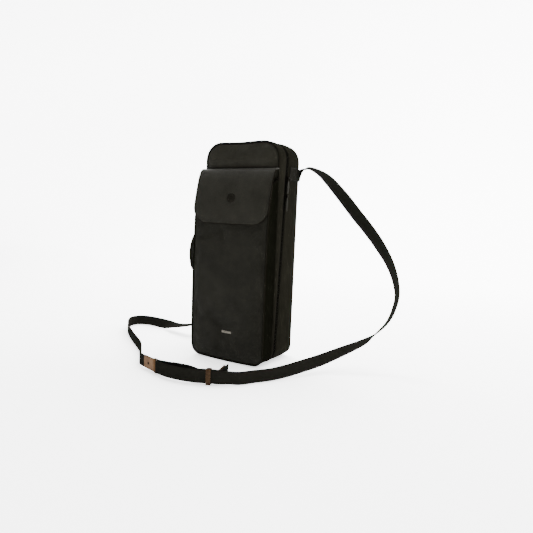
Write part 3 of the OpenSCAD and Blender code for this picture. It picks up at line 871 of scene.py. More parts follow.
# Organiser pocket inside the cover: a soft panel with gathered sides
org_low, org_high = node_box("organiser_pocket")
organiser = Piece("organiser_pocket_cloth")
rows = []
for i in range(25):
    v = i / 24
    z = org_low[2] + (org_high[2] - org_low[2]) * v
    row = []
    for k in range(29):
        u = 2 * k / 28 - 1
        lift = (1 - abs(u) ** 8) * min(1, v * 7) * (org_high[1] - org_low[1] - 1.0)
        sag = 0.8 * (1 - u * u) * v + 0.35 * wobble((u * 60, 0, z), 24, 9.0)
        row.append((u * org_high[0], org_low[1] + 1.1 + lift + sag * min(1, lift), z))
    rows.append(row)
organiser.sheet(rows, 0.9, lambda i, k: (0, 1, 0))
organiser.build(LINING, "front_cover", ["organiser_pocket"])
org_band_low, _ = node_box("organiser_binding")
org_band = Piece("organiser_binding_tape")
rows = []
for k in range(61):
    u = 2 * k / 60 - 1
    y = org_low[1] + 1.1 + (1 - abs(u) ** 8) * (org_high[1] - org_low[1] - 1.0) + 0.8 * (1 - u * u)
    rows.append([(u * (org_high[0] - 0.2), y + dy, org_band_low[2] - 2 + dz) for dy, dz in
                 ((-1.6, 0.5), (-1.7, 5), (-1.0, 8.6), (0, 9), (0.9, 8.6), (1.1, 5), (0.9, 0.2))])
org_band.tube(rows)
org_band.build(WEBBING, "front_cover", ["organiser_binding"])

# Cloth strip that covers the fold of the hinge on the inside
hinge_tape = Piece("spine_hinge_tape")
rows = []
for k in range(90):
    z = LOW + BOTTOM_R + 4 + (HIGH - TOP_R - LOW - BOTTOM_R - 8) * k / 89
    y = zip_plane(z)
    rows.append([(-HALF_W + WALL + 1.25 + (0.35 if abs(d) < 3 else 0), y + d, z)
                 for d in (-11, -7, -3.5, -2, -1, 0, 1, 2, 3.5, 7, 11)]
                + [(-HALF_W + WALL + 0.6, y + d, z) for d in (11, 3.5, 1, -1, -3.5, -11)])
hinge_tape.tube(rows)
tape_obj = hinge_tape.build(WEBBING, None, ())
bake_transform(tape_obj)


# ---------- front pocket ----------

LEANS = ((0, 0.8), (20, -0.6), (60, -2.2), (130, -3.0), (200, -2.8), (250, -1.8), (300, 0.2), (320, 2.0),
         (334, 4.3), (350, 7.5), (POCKET_TOP, 11.0), (POCKET_TOP + 20, 14.0))


def pocket_lean(z):
    """How far the full pocket's face is pushed back at a height: it swells low down and closes at the top."""
    return float(np.interp(z, [a for a, _ in LEANS], [b for _, b in LEANS]))


FLAP_LOW_Z = 292  # top of the face's free part; behind the flap it is held


def droop(x, z):
    """Sag of the pocket's front edge under its load."""
    return 2.7 * (1 - (x / HALF_W) ** 2) * math.exp(-max(z - LOW, 0) / 30)


FACE_IN = 1.9  # from the outline to the face's sewn edge
FACE_SHAPE = dict(depth=FACE_Y + 1.2, facing=-1, crown=lambda z: 2.0 + 3.0 * math.exp(-z / 120),
                  high=POCKET_TOP, top_r=0, ripple=0.75, seed=2.7, rim_drop=1.5, lean=pocket_lean)
pocket_front = [[(x, y, z - droop(x, z)) for x, y, z in row] for row in padded_rows(FACE_IN, **FACE_SHAPE)]
face = panel("pocket_face_canvas", pocket_front, 1.9, -1, CANVAS, "front_cover", ["pocket_face"])
badge_low, badge_high = node_box("blank_badge")
badge_at = [(badge_low[0] + badge_high[0]) / 2, 0, (badge_low[2] + badge_high[2]) / 2]
BADGE_REACH = 22
cloth_settle(face, high=FLAP_LOW_Z, holds=[(badge_at[0], badge_at[2], BADGE_REACH)])


def pocket_outline(step=5):
    """The pocket's U from the upper right, round the bottom, to the upper left."""
    w, b = HALF_W, BOTTOM_R
    return ([(w, POCKET_TOP, 1, 0)] + line(w, POCKET_TOP, w, LOW + b, 1, 0, step)
            + arc(w - b, LOW + b, b, 0, -90, 8)
            + line(w - b, LOW, b - w, LOW, 0, -1, step)
            + arc(b - w, LOW + b, b, -90, -180, 8)
            + line(-w, LOW + b, -w, POCKET_TOP, -1, 0, step) + [(-w, POCKET_TOP, -1, 0)])


pocket_side = Piece("pocket_side_canvas")
rows = []
for x, z, nx, nz in pocket_outline():
    share = max(0, (z - LOW - BOTTOM_R) / (POCKET_TOP - LOW - BOTTOM_R))
    depth = FRONT_Y - FACE_Y
    outer, inner = [], []
    for k in range(11):
        t = k / 10
        lean = pocket_lean(z) * (1 - t)
        y = FACE_Y + 2.0 + (depth - 1.8) * t + lean
        pinch = -math.sin(math.pi * t) * (3.4 * (0.35 + 0.65 * share) if abs(nx) > 0.9 else 0.8)
        crease = 0.7 * wobble((x, y, z), 22, 5.0) * math.sin(math.pi * t)
        rise = 16 * t * share - droop(x, z) * (1 - t) ** 2
        o = -0.25 + pinch + crease - 0.5 * (1 - math.sin(math.pi * t)) * (t < 0.06)
        outer.append((x + nx * o, y, z + nz * o + rise))
        inner.append((x + nx * (o - 1.8), y, z + nz * (o - 1.8) + rise))
    rows.append(outer + inner[::-1])
pocket_side.tube(rows, turn=True)
# The pocket's gusset takes the much darker canvas copy, which is painted shade.
pocket_side.build(CANVAS_POCKET_SIDE_PAINTED_SHADE, "front_cover", ["pocket_gusset"])
pocket_cord = Piece("pocket_edge_piping")
rows = []
for x, z, nx, nz in pocket_outline():
    row = []
    for q in ring_angles(10):
        o = -1.2 + 1.4 * math.cos(q)
        row.append((x + nx * o, FACE_Y + 1.2 + 1.4 * math.sin(q) + pocket_lean(z), z + nz * o - droop(x, z)))
    rows.append(row)
pocket_cord.tube(rows)
pocket_cord.build(BINDING, "front_cover", ["pocket_piping"])

hem = Piece("pocket_hem_canvas")
hem_low, hem_high = node_box("pocket_hem")
rows = []
for k in range(61):
    u = 2 * k / 60 - 1
    x = u * hem_high[0]
    y = FACE_Y - 0.6 - 1.6 * (1 - u ** 4) + 0.15 * wobble((x, 0, 0), 20, 4.0)
    rows.append([(x, y + dy + pocket_lean(hem_low[2] - 7 + dz), hem_low[2] - 7 + dz)
                 for dy, dz in ((-0.15, 0.6), (-0.4, 2), (-0.4, 10), (0.2, 12.6), (1.2, 13), (2.2, 12.6),
                                (2.8, 10), (2.8, 1))])
hem.tube(rows)
hem.build(CANVAS_SIDE_PAINTED_SHADE, "front_cover", ["pocket_hem"])


# ---------- flap ----------

FLAP_HALF = node_box("flap_binding")[1][0]
FLAP_R = 35
BEND_Y = FRONT_Y - 9.5
PULL_Z = 342  # about here the closed press stud draws the flap in
FLAP_CURVE = ((FRONT_Y - 0.4, 403.2), (-47, 404), (-52.5, 403.7), (-58, 400.4), (-63, 392.6), (-68, 380.5),
              (-72.3, 366), (-76, 350), (-79.3, 334), (-81.8, 318), (-83.4, 303), (-83.9, 290))


def dense(points, steps=12):
    """Smooth polyline through the points with its running length."""
    out = []
    last = len(points) - 1
    for i in range(last):
        a, b, c, d = (np.array(points[k], float) for k in (max(i - 1, 0), i, i + 1, min(i + 2, last)))
        out += [spline(a, b, c, d, k / steps) for k in range(steps)]
    out.append(np.array(points[last], float))
    out = np.array(out)
    run = np.concatenate([[0], np.cumsum(np.linalg.norm(np.diff(out, axis=0), axis=1))])
    return out, run


FLAP_LINE, FLAP_RUN = dense(FLAP_CURVE)
FLAP_LEN = float(FLAP_RUN[-1])
RUN = float(np.interp(-BEND_Y, -FLAP_LINE[:, 0], FLAP_RUN))


def flap_profile(s):
    """Depth, height and outward direction (y, z) of the flap at a length s from its seam."""
    def at(v):
        return np.array([np.interp(v, FLAP_RUN, FLAP_LINE[:, 0]), np.interp(v, FLAP_RUN, FLAP_LINE[:, 1])])
    p = at(s)
    t = at(min(s + 1.5, FLAP_LEN)) - at(max(s - 1.5, 0))
    t /= np.linalg.norm(t)
    return float(p[0]), float(p[1]), float(t[1]), float(-t[0])


def flap_half(s, inset=0.0):
    """Half width of the flap at a length s: round lower corners and a slight waist."""
    left = FLAP_LEN - s - inset
    r = FLAP_R - inset
    half = FLAP_HALF - inset - 0.8 * math.sin(math.pi * min(max((s - RUN) / (FLAP_LEN - RUN), 0), 1))
    if left < r:
        return half - r + math.sqrt(max(r * r - (r - left) ** 2, 0))
    return half


def flap_point(x, s, lift=0.0):
    """Point on the flap's outer surface, with its soft shape, and the outward direction."""
    y, z, ny, nz = flap_profile(s)
    u = x / FLAP_HALF
    free = min(max((s - RUN) / 30, 0), 1)
    pull = math.exp(-((x / 26) ** 2 + ((z - PULL_Z) / 22) ** 2))
    soft = 0.9 * (1 - u ** 4) * free - 1.1 * pull
    soft += free * (0.55 * wobble((x, y, z), 55, 3.9) + 0.22 * wobble((x, y, z), 20, 1.1))
    edge = FLAP_LEN - s
    curl = 0.8 * math.exp(-edge / 9) + 0.5 * math.exp(-(flap_half(s) - abs(x)) / 7)
    soft -= curl * free * 0.6
    sag = 1.2 * (1 - u * u) * max(0, 1 - edge / 40)
    off = soft + lift
    return Vector((x, y + ny * off, z + nz * off - sag)), Vector((0, ny, nz))


def flap_lengths(inset):
    """Row positions along the flap, close together round its lower corners."""
    end = FLAP_LEN - inset
    r = FLAP_R - inset
    straight = end - r
    count = round(straight / 4)
    out = [straight * k / count for k in range(count)]
    return out + [end - r * (1 - math.sin(math.radians(a))) for a in range(0, 91, 6)]


def flap_layer(name, inset, sink, thickness, material, replaced, first=0.0):
    """One cloth layer of the flap, sunk below its outer surface, from a first length on."""
    piece = Piece(name)
    rows, outs = [], []
    for s in flap_lengths(inset):
        if s < first:
            continue
        half = flap_half(s, inset)
        row, out = [], []
        for k in range(41):
            p, n = flap_point((2 * k / 40 - 1) * half, s, -sink)
            row.append(tuple(p))
            out.append(tuple(n))
        rows.append(row)
        outs.append(out)
    piece.sheet(rows, thickness, lambda i, k: outs[i][k])
    obj = piece.build(material, None, replaced)
    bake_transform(obj)
    return obj


# The flap's outer cloth takes the lighter canvas copy, which is painted light.
flap_layer("flap_canvas", 0.6, 0.0, 1.5, CANVAS_FLAP_PAINTED_LIGHT, ["flap_outer", "flap_root"])
flap_layer("flap_lining_cloth", 1.6, 1.55, 0.8, LINING, ["flap_lining"], first=3.0)

flap_edge = Piece("flap_edge_binding")
edge_path = []
lengths = [s for s in flap_lengths(0.6) if s > RUN + 3]
for s in lengths:
    edge_path.append((flap_half(s, 0.6), s))
bottom_half = flap_half(FLAP_LEN - 0.6, 0.6)
edge_path += [(bottom_half * (1 - 2 * k / 30), FLAP_LEN - 0.6) for k in range(1, 30)]
edge_path += [(-flap_half(s, 0.6), s) for s in reversed(lengths)]


EDGE_R = 1.45


def edge_ring(i):
    """Round section of the flap's rolled edge at a point of its path."""
    x, s = edge_path[i]
    p, n = flap_point(x, s, -1.15)
    a, _ = flap_point(*edge_path[max(i - 1, 0)])
    b, _ = flap_point(*edge_path[min(i + 1, len(edge_path) - 1)])
    along = (b - a).normalized()
    side = along.cross(n).normalized()
    n = side.cross(along).normalized()
    return [tuple(p + (side * math.cos(q) * 0.9 + n * math.sin(q)) * EDGE_R) for q in ring_angles(8)]


flap_edge.tube([edge_ring(i) for i in range(len(edge_path))], turn=True)
flap_edge.build(BINDING, "pocket_flap", ["flap_binding"])


def flap_stitch_line(inset):
    """Points (x, length) of the seam along the flap's free edges."""
    path = [(flap_half(s, inset), s) for s in flap_lengths(inset) if s > RUN + 4]
    half = flap_half(FLAP_LEN - inset, inset)
    bottom = [(half * (1 - 2 * k / 24), FLAP_LEN - inset) for k in range(1, 24)]
    return path + bottom + [(-x, s) for x, s in reversed(path)]


flap_seam = Piece("flap_edge_stitching")
placed = [flap_point(x, s) for x, s in flap_stitch_line(4.2)]
stitches(flap_seam, [p for p, _ in placed], [n for _, n in placed])
flap_seam.build(THREAD, "pocket_flap", ())

# Press stud: covered cap on the flap, socket inside it, stud on the pocket
SNAP_Z = (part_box("snap_cap")[0].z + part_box("snap_cap")[1].z) / 2 / MM
snap_s = float(np.interp(-SNAP_Z, -FLAP_LINE[:, 1], FLAP_RUN))
snap_place, snap_out = flap_point(0, snap_s)
cap = Piece("snap_cap_cover")
cap.lathe([(0, 1.45), (2.6, 1.5), (3.5, 1.25), (4.1, 0.85), (4.7, 0.85), (5.3, 1.4), (6.4, 1.85), (8.2, 1.8),
           (9.4, 1.35), (10, 0.5), (10, -0.6)], snap_place, snap_out, 48)
cap.build(DARK_LEATHER, "pocket_flap", ["snap_cap"], sharp=60)
socket = Piece("snap_socket_ring")
socket.lathe([(3.0, 0.2), (3.0, 1.9), (3.4, 2.3), (4.4, 2.5), (5.6, 2.3), (6.6, 1.5), (7.0, 0.4), (7.0, 0.2)],
             snap_place - snap_out * 1.3, -snap_out, 36)
socket.build(DARK_METAL, "pocket_flap", ["snap_socket"])
stud_place = Vector((0, padded_y(0, SNAP_Z, FACE_IN, **FACE_SHAPE) - 0.2, SNAP_Z))
stud = Piece("snap_stud_post")
stud.lathe([(0, 2.4), (1.5, 2.35), (2.1, 1.9), (2.1, 1.4), (1.7, 1.0), (1.8, 0.6), (4.5, 0.55), (5.8, 0.35),
            (6.0, -0.6)], stud_place, snap_out, 36)
stud.build(DARK_METAL, "front_cover", ["snap_stud"])

badge = Piece("blank_badge_bar")
badge_at[1] = padded_y(badge_at[0], badge_at[2], FACE_IN, **FACE_SHAPE) - 0.2
badge.bevelled((badge_high[0] - badge_low[0] - 8, 1.0, badge_high[2] - badge_low[2] - 1),
               Matrix.Translation(Vector(badge_at)), 0.45, 3)
badge.build(BADGE, "front_cover", ["blank_badge"])


# ---------- base ----------

base_low, base_high = node_box("base_panel")
base = Piece("base_reinforcement")
rows = []
for i in range(17):
    x = base_low[0] + (base_high[0] - base_low[0]) * i / 16
    end = 1.2 if i in (0, 16) else 0
    y0, y1 = base_low[1], base_high[1]
    rows.append([(x, y0 + end, 2.6), (x, y0 + end, 0.9), (x, y0 + 0.9 + end, 0.15)]
                + [(x, y0 + 4 + (y1 - y0 - 8) * k / 6, 0.02) for k in range(7)]
                + [(x, y1 - 0.9 - end, 0.15), (x, y1 - end, 0.9), (x, y1 - end, 2.6), (x, y1 - 3, 3.9),
                   (x, y0 + 3, 3.9)])
base.tube(rows)
base.build(DARK_LEATHER, "rear_shell", ["base_panel"])


# ---------- handle ----------

def leaning(x):
    """Frame that leans with the zip line: x off the bag, y across, z along."""
    return Matrix.Translation(Vector((x, ZIP_Y, 0))) @ Matrix.Rotation(-math.atan(LEAN), 4, "X")


SPINE = leaning(-HALF_W)
HANDLE_Y = -12
HANDLE_Z = 220
HANDLE_RISE = 42
TAB_OFFSET = 75
HANDLE_R = 86.06
HANDLE_CX = HANDLE_R - HANDLE_RISE


def handle_point(angle, off=0.0):
    """Point on the handle's arc at an angle about its crest, in the spine frame."""
    a = math.radians(angle)
    r = HANDLE_R + off
    return Vector((HANDLE_CX - r * math.cos(a), HANDLE_Y, HANDLE_Z + r * math.sin(a)))


def ribbon_frames(line, sheared=False):
    """Along, face and across directions at each station; sheared keeps the given width direction."""
    out = []
    last = len(line) - 1
    for i, (_, w) in enumerate(line):
        along = (line[min(i + 1, last)][0] - line[max(i - 1, 0)][0]).normalized()
        face = along.cross(w).normalized()
        out.append((along, face, w.normalized() if sheared else face.cross(along)))
    return out


def ribbon(piece, line, width, thickness, soft=0.0, seed=0.0, sheared=False):
    """Flat band through the stations with rounded edges; soft adds a shallow lengthwise waviness."""
    frames = ribbon_frames(line, sheared)
    rows = []
    half, t = width / 2, thickness / 2
    section = ([(-half + 0.15, t * 0.55), (-half + 0.6, t)]
               + [(-half + width * k / 6, t) for k in range(1, 6)]
               + [(half - 0.6, t), (half - 0.15, t * 0.55), (half, 0), (half - 0.15, -t * 0.55)]
               + [(half - 0.6, -t)] + [(half - width * k / 6, -t) for k in range(1, 6)]
               + [(-half + 0.6, -t), (-half + 0.15, -t * 0.55), (-half, 0)])
    for (p, _), (_, face, across) in zip(line, frames):
        row = []
        for a, b in section:
            shift = soft * wobble((p.x + a * across.x * 2, p.y + a * across.y * 2, p.z + a), 32, seed)
            row.append(tuple(p + across * a + face * (b + shift)))
        rows.append(row)
    piece.tube(rows)


def stations(route, steps):
    """Smooth stations through a route of (place, width direction) pairs."""
    route = [(Vector(p), Vector(w)) for p, w in route]
    last = len(route) - 1
    out = []
    for i in range(last):
        a, b, c, d = route[max(i - 1, 0)], route[i], route[i + 1], route[min(i + 2, last)]
        for k in range(steps):
            out.append(tuple(spline(a[j], b[j], c[j], d[j], k / steps) for j in (0, 1)))
    out.append(route[last])
    return out


HANDLE_END = 54.4  # degrees from the arc's crest to its ends
local = [(-3.9, 87), (-4.0, 82), (-4.2, 77.5), (-5.0, 73.5)]
arc_points = [handle_point(a) for a in np.linspace(-HANDLE_END + 4, HANDLE_END - 4, 41)]
path = ([Vector((x, HANDLE_Y, HANDLE_Z - z)) for x, z in local] + arc_points
        + [Vector((x, HANDLE_Y, HANDLE_Z + z)) for x, z in reversed(local)])
across_spine = SPINE.to_3x3() @ Vector((0, 1, 0))
handle_line = stations([(SPINE @ p, across_spine) for p in path], 2)
band = Piece("handle_strap")
ribbon(band, handle_line, 16, 2.4, 0.15)
band_obj = band.build(WEBBING, None, ["handle_webbing"])
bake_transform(band_obj)

grip = Piece("handle_grip_pad")
rows = []
GRIP = 29  # degrees from the crest to the grip's ends
for i in range(45):
    v = -1 + 2 * i / 44
    a = v * GRIP
    close = 1 - abs(v) ** 10 * 0.42
    row = []
    for k in range(24):
        q = 2 * math.pi * k / 24
        c, s = math.cos(q), math.sin(q)
        r_y = 10.0 * close
        r_x = 3.3 * close * (1 + 0.05 * wobble((i * 3, k * 2, 0), 6, 1.0))
        y = r_y * math.copysign(abs(c) ** 0.75, c)
        x = r_x * math.copysign(abs(s) ** 0.85, s)
        p = handle_point(a, x)
        p.y += y
        row.append(tuple(SPINE @ p))
    rows.append(row)
grip.tube(rows, turn=True)
grip_obj = grip.build(CANVAS_FLAP_PAINTED_LIGHT, "handle", ["handle_grip"], sharp=60)
grip_seam = Piece("handle_grip_stitching")
for side in (-1, 1):
    pts, nor = [], []
    for a in np.linspace(-GRIP + 1.5, GRIP - 1.5, 60):
        p = handle_point(a, 2.75)
        p.y += side * 7.0
        pts.append(SPINE @ p)
        t = math.radians(a)
        nor.append((SPINE.to_3x3() @ Vector((-math.cos(t), side * 0.45, math.sin(t)))).normalized())
    stitches(grip_seam, pts, nor, 2.6, 1.2, 0.3)
grip_seam.build(THREAD, "handle", ())

tabs = Piece("handle_end_tabs")
tab_seams = Piece("handle_tab_stitching")
for side in (-1, 1):
    z0 = HANDLE_Z + side * TAB_OFFSET
    rows, pts = [], []
    for i in range(13):
        z = z0 - 14 + 28 * i / 12
        row = []
        for k in range(9):
            y = HANDLE_Y - 8.5 + 17 * k / 8
            over = 2.7 + 0.35 * (1 - abs(2 * k / 8 - 1) ** 4) * (1 - abs(2 * i / 12 - 1) ** 6)
            row.append(tuple(SPINE @ Vector((-over, y, z))))
        rows.append(row)
    off = SPINE.to_3x3() @ Vector((-1, 0, 0))
    tabs.sheet(rows, 2.6, lambda i, k: tuple(off))
    ring_path = [(-7.2, -12.6), (7.2, -12.6), (7.2, 12.6), (-7.2, 12.6), (-7.2, -12.6)]
    for (y0, a), (y1, b) in zip(ring_path, ring_path[1:]):
        line_points = [SPINE @ Vector((-2.95, HANDLE_Y + y0 + (y1 - y0) * t, z0 + a + (b - a) * t))
                       for t in (0, 0.25, 0.5, 0.75, 1)]
        stitches(tab_seams, line_points, [off] * 5, 2.2, 1.0, 0.28)
tabs.build(CANVAS_SIDE_PAINTED_SHADE, "front_cover", ["handle_tabs"])
tab_seams.build(THREAD, "front_cover", ())
rivets = Piece("handle_rivet_heads")
for side in (-1, 1):
    for along in (-8, 7):
        off = -4.9 if side * along > 0 else -5.2
        place = SPINE @ Vector((off, HANDLE_Y, HANDLE_Z + side * TAB_OFFSET + along))
        rivets.lathe([(0, 1.25), (1.5, 1.15), (2.6, 0.8), (3.2, 0.25), (3.25, -0.3), (2.4, -0.9),
                      (1.2, -2.4)], place, SPINE.to_3x3() @ Vector((-1, 0, 0)), 28)
rivets.build(COPPER, "front_cover", ["handle_rivets"])


# ---------- zip sliders and pulls ----------

PIN_X, PIN_Z = 4.2, 3.5  # the pull's pin, off the bag and above the slider's middle
CORD_R = 0.6


def zip_hardware(label, height):
    """One slider with its blades and bridge, and the leather pull that hangs from its pin."""
    at = leaning(HALF_W) @ Matrix.Translation(Vector((0, 0, height)))
    slider = Piece("zip_slider_body_" + label)

    def block(centre, size, bevel, segments=2):
        slider.bevelled(size, at @ Matrix.Translation(Vector(centre)), bevel, segments)
    block((1.55, 0, 3.4), (1.9, 9, 7), 0.8, 3)
    block((1.5, 0, -3.2), (1.8, 7.2, 7.6), 0.8, 3)
    block((-1.4, 0, 0), (4, 0.6, 8), 0.15, 1)
    block((-4.0, 0, 0), (1.6, 9, 14), 0.6)
    for y in (-2.55, 2.55):
        block((3.8, y, 3.5), (3.4, 1.3, 3), 0.5, 3)
    slider.lathe([(0.7, -3.2), (0.7, 3.2)], at @ Vector((PIN_X, 0, PIN_Z)),
                 at.to_3x3() @ Vector((0, 1, 0)), 16)
    slider.build(DARK_METAL, "zip_slider_" + label, ["zip_slider_" + label])
    pull = Piece("zip_pull_cord_" + label)
    rows = []
    outline = [(-4.6, 3.2, 1.2), (-6.0, 3.2, 1.5), (-7.5, 4.4, 1.7), (-9, 6.2, 1.8), (-12, 6.9, 1.9),
               (-20, 7.0, 1.9), (-28, 6.8, 1.8), (-30.4, 5.6, 1.6), (-31.4, 3.6, 1.2)]
    for z, w, t in outline:
        rows.append([tuple(at @ Vector((PIN_X + b, a, PIN_Z + z))) for a, b in round_bar(w, t, t * 0.42)])
    pull.tube(rows, turn=True)
    loop = []
    for k in range(17):
        q = math.radians(-90 + 300 * k / 16)
        row = []
        for s in ring_angles(8):
            out = 1.35 + CORD_R * math.cos(s)
            row.append(tuple(at @ Vector((PIN_X + out * math.cos(q), CORD_R * math.sin(s) * 2.3,
                                          PIN_Z + out * math.sin(q)))))
        loop.append(row)
    pull.tube(loop)
    pull.build(DARK_LEATHER, "zip_pull_" + label, ["zip_pull_" + label], sharp=60)
    seam = Piece("zip_pull_stitching_" + label)
    for y in (-2.3, 2.3):
        pts = [at @ Vector((5.1, y, PIN_Z - z)) for z in (9.5, 16, 22, 29)]
        stitches(seam, pts, [at.to_3x3() @ Vector((1, 0, 0))] * 4, 1.8, 0.9, 0.22)
    seam.build(THREAD, "zip_pull_" + label, ())


UPPER_SLIDER_Z, LOWER_SLIDER_Z = 384, 348
zip_hardware("upper", UPPER_SLIDER_Z)
zip_hardware("lower", LOWER_SLIDER_Z)


# ---------- shoulder strap ----------

STRAP_W, STRAP_T = 25, 1.8
EDGE_Z, METAL_Z = STRAP_W / 2 + 0.3, 15
UP = (0, 0, 1)


def heading(turn):
    """Unit direction on the ground at an angle in degrees."""
    return Vector((math.cos(math.radians(turn)), math.sin(math.radians(turn)), 0))


def sideways(turn):
    """Unit direction on the ground, a quarter turn on from heading."""
    return Vector((-math.sin(math.radians(turn)), math.cos(math.radians(turn)), 0))


GLIDE_AT, GLIDE_TURN, GLIDE_RUN, GLIDE_LEAD, LAYER = Vector((55, -209, METAL_Z)), 205, 11, 20, 2.6
RING_AT, RING_TURN, RING_GAP, BAR_R = Vector((-56, -222, METAL_Z)), 172, 10, 1.3
FOLD_R = BAR_R + 0.9 + STRAP_T / 2
TAB_AT, TAB_TURN, TAB_LEN, LEATHER_T = RING_AT + heading(RING_TURN) * RING_GAP, 165, 34, 1.6


def glide(along, side):
    """Point at the slide adjuster, along and beside its bars."""
    return GLIDE_AT + heading(GLIDE_TURN) * along + sideways(GLIDE_TURN) * side


def tab(along, side):
    """Point at the leather tab, along and beside it from its fold."""
    return TAB_AT + heading(TAB_TURN) * along + sideways(TAB_TURN) * side


long_route = [
    ((92.4, 34.5, 397), UP), ((92.4, 39, 397), UP), ((92.8, 43, 397), UP), ((94.2, 47, 400), (0, 0.3, 1)),
    ((96.5, 49, 405), (0, 0.8, 0.7)), ((100, 50, 411), (-0.1, 1, 0.3)), ((107, 50, 413), (-0.1, 1, 0.32)),
    ((118, 53, 412), (0, 1, 0.2)), ((137, 60, 402), (0.25, 0.95, 0.3)), ((155, 66, 386), (0.45, 0.8, 0.5)),
    ((186, 70, 353), (0.6, 0.55, 0.6)), ((214, 74, 320), (0.63, 0.44, 0.64)),
    ((243, 76, 288), (0.6, 0.55, 0.5)), ((268, 77, 257), (0.55, 0.7, 0.4)),
    ((289, 78, 225), (0.4, 0.9, 0.25)), ((303, 78, 194), (0.28, 0.95, 0.05)), ((310, 78, 162), (0.12, 1, 0)),
    ((307, 78, 135), (0.1, 1, 0)), ((297, 75, 105), (0.1, 0.97, 0.05)), ((277, 64, 77), (0.1, 0.9, 0.1)),
    ((255, 49, 58), (-0.45, 0.8, 0.2)), ((222, 18, 40), (-0.45, 0.6, 0.5)),
    ((194, -26, 27), (-0.3, 0.4, 0.8)), ((168, -72, 19), (-0.2, 0.25, 0.9)),
    ((153, -98, 15), (-0.1, 0.15, 1)), ((136, -127, EDGE_Z), UP), ((119, -152, EDGE_Z), UP),
    ((102, -178, EDGE_Z), UP), ((88, -190, 14), UP), (glide(-GLIDE_LEAD, LAYER), UP),
    (glide(-GLIDE_RUN, LAYER), UP), (glide(GLIDE_RUN, LAYER), UP), (glide(GLIDE_LEAD, LAYER), UP),
    ((10, -228, METAL_Z), UP), ((-26, -231, METAL_Z), UP)]
fold_route = [(RING_AT + heading(RING_TURN + 90 - 22.5 * k) * FOLD_R, UP) for k in range(9)]
tail_route = [
    ((-26, -215, METAL_Z), UP), ((10, -211, METAL_Z), UP), (glide(GLIDE_LEAD, -LAYER), UP),
    (glide(GLIDE_RUN, -LAYER), UP), (glide(-GLIDE_RUN, -LAYER), UP), (glide(-GLIDE_LEAD, -LAYER), UP),
    ((79, -183, 25), (0, 0.1, 1))]
short_route = [
    (tab(8, 0), UP), (tab(20, 0), UP), (tab(TAB_LEN, 0), UP), (tab(TAB_LEN + 8, 0), UP),
    ((-122, -202, 14), UP), ((-136, -189, EDGE_Z), UP), ((-153, -168, EDGE_Z), UP),
    ((-188, -137, EDGE_Z), UP), ((-255, -92, EDGE_Z), UP), ((-320, -45, EDGE_Z), UP),
    ((-358, -8, EDGE_Z), UP), ((-376, 20, EDGE_Z), UP), ((-372, 44, EDGE_Z), UP), ((-352, 55, EDGE_Z), UP),
    ((-325, 56, EDGE_Z), (0, 0.1, 1)), ((-283, 50, 14), (0, 0.5, 0.8)), ((-240, 42, 18), (0.1, 1, 0.3)),
    ((-195, 38, 27), (0, 1, 0.1)), ((-150, 44, 40), (0, 1, 0.2)), ((-112, 54, 51), (0, 0.8, 0.6)),
    ((-99, 53, 54), (0, 0.3, 1)), ((-93.4, 46, 54), UP), ((-92.1, 41, 54), UP), ((-92.1, 34.5, 54), UP)]
LENGTHS = {}


def webbing_band(name, route, node):
    """One webbing band of the strap along its route, and its length."""
    line = stations(route, 10)
    LENGTHS[name] = sum((b[0] - a[0]).length for a, b in zip(line, line[1:]))
    piece = Piece(name)
    ribbon(piece, line, STRAP_W, STRAP_T, 0.35, 2.0, sheared=True)
    piece.build(WEBBING, "rear_shell", [node])


webbing_band("strap_webbing_long", long_route + fold_route + tail_route, "shoulder_strap_long")
webbing_band("strap_webbing_short", short_route, "shoulder_strap_short")

# Thin leather strip sewn to the tail's outer face, a little wider than the webbing
tail_line = stations(tail_route, 10)
backed = [(p - face * (STRAP_T / 2 + 0.35), w)
          for (p, w), (_, face, _) in zip(tail_line, ribbon_frames(tail_line))]
backing = Piece("strap_tail_backing")
ribbon(backing, backed, STRAP_W + 0.9, 0.7, 0.35, 2.0)
backing.build(BROWN_LEATHER, "rear_shell", (), sharp=60)


def tab_line():
    """The leather tab: along its near side, round the ring's bar and back on its other side."""
    leg = STRAP_T / 2 + LEATHER_T / 2 + 0.05
    bend = BAR_R + 0.35 + LEATHER_T / 2
    legs = (TAB_LEN, 28, 22, 16, 10, 4)
    out = [(tab(p, bend - 0.3 if p < 5 else leg), Vector(UP)) for p in legs]
    out += [(TAB_AT + heading(TAB_TURN + 90 + 22.5 * k) * bend, Vector(UP)) for k in range(9)]
    return out + [(tab(p, 0.3 - bend if p < 5 else -leg), Vector(UP)) for p in reversed(legs)]


leather = Piece("strap_tab_leather")
ribbon(leather, stations(tab_line(), 3), STRAP_W - 1, LEATHER_T)
leather.build(TAN_LEATHER, "rear_shell", ["strap_leather_tab"], sharp=60)
tab_seam = Piece("strap_tab_stitching")
tab_face = STRAP_T / 2 + LEATHER_T + 0.05
for side in (-1, 1):
    for up in (-9.6, 9.6):
        pts = [tab(p, side * tab_face) + Vector((0, 0, up)) for p in (9, 16, 24, 32)]
        stitches(tab_seam, pts, [sideways(TAB_TURN) * side] * 4, 2.3, 1.1, 0.3)
    pts = [tab(32, side * tab_face) + Vector((0, 0, up)) for up in (-9.6, 0, 9.6)]
    stitches(tab_seam, pts, [sideways(TAB_TURN) * side] * 3, 2.3, 1.1, 0.3)
tab_seam.build(TAN_THREAD, "rear_shell", ())
tab_rivet = Piece("strap_tab_rivet_heads")
for side in (-1, 1):
    tab_rivet.lathe([(0, 0.95), (1.2, 0.9), (2.1, 0.6), (2.6, 0.1), (2.6, -0.3)],
                    tab(18, side * tab_face), sideways(TAB_TURN) * side, 28)
tab_rivet.build(DARK_METAL, "rear_shell", ["strap_tab_rivet"])

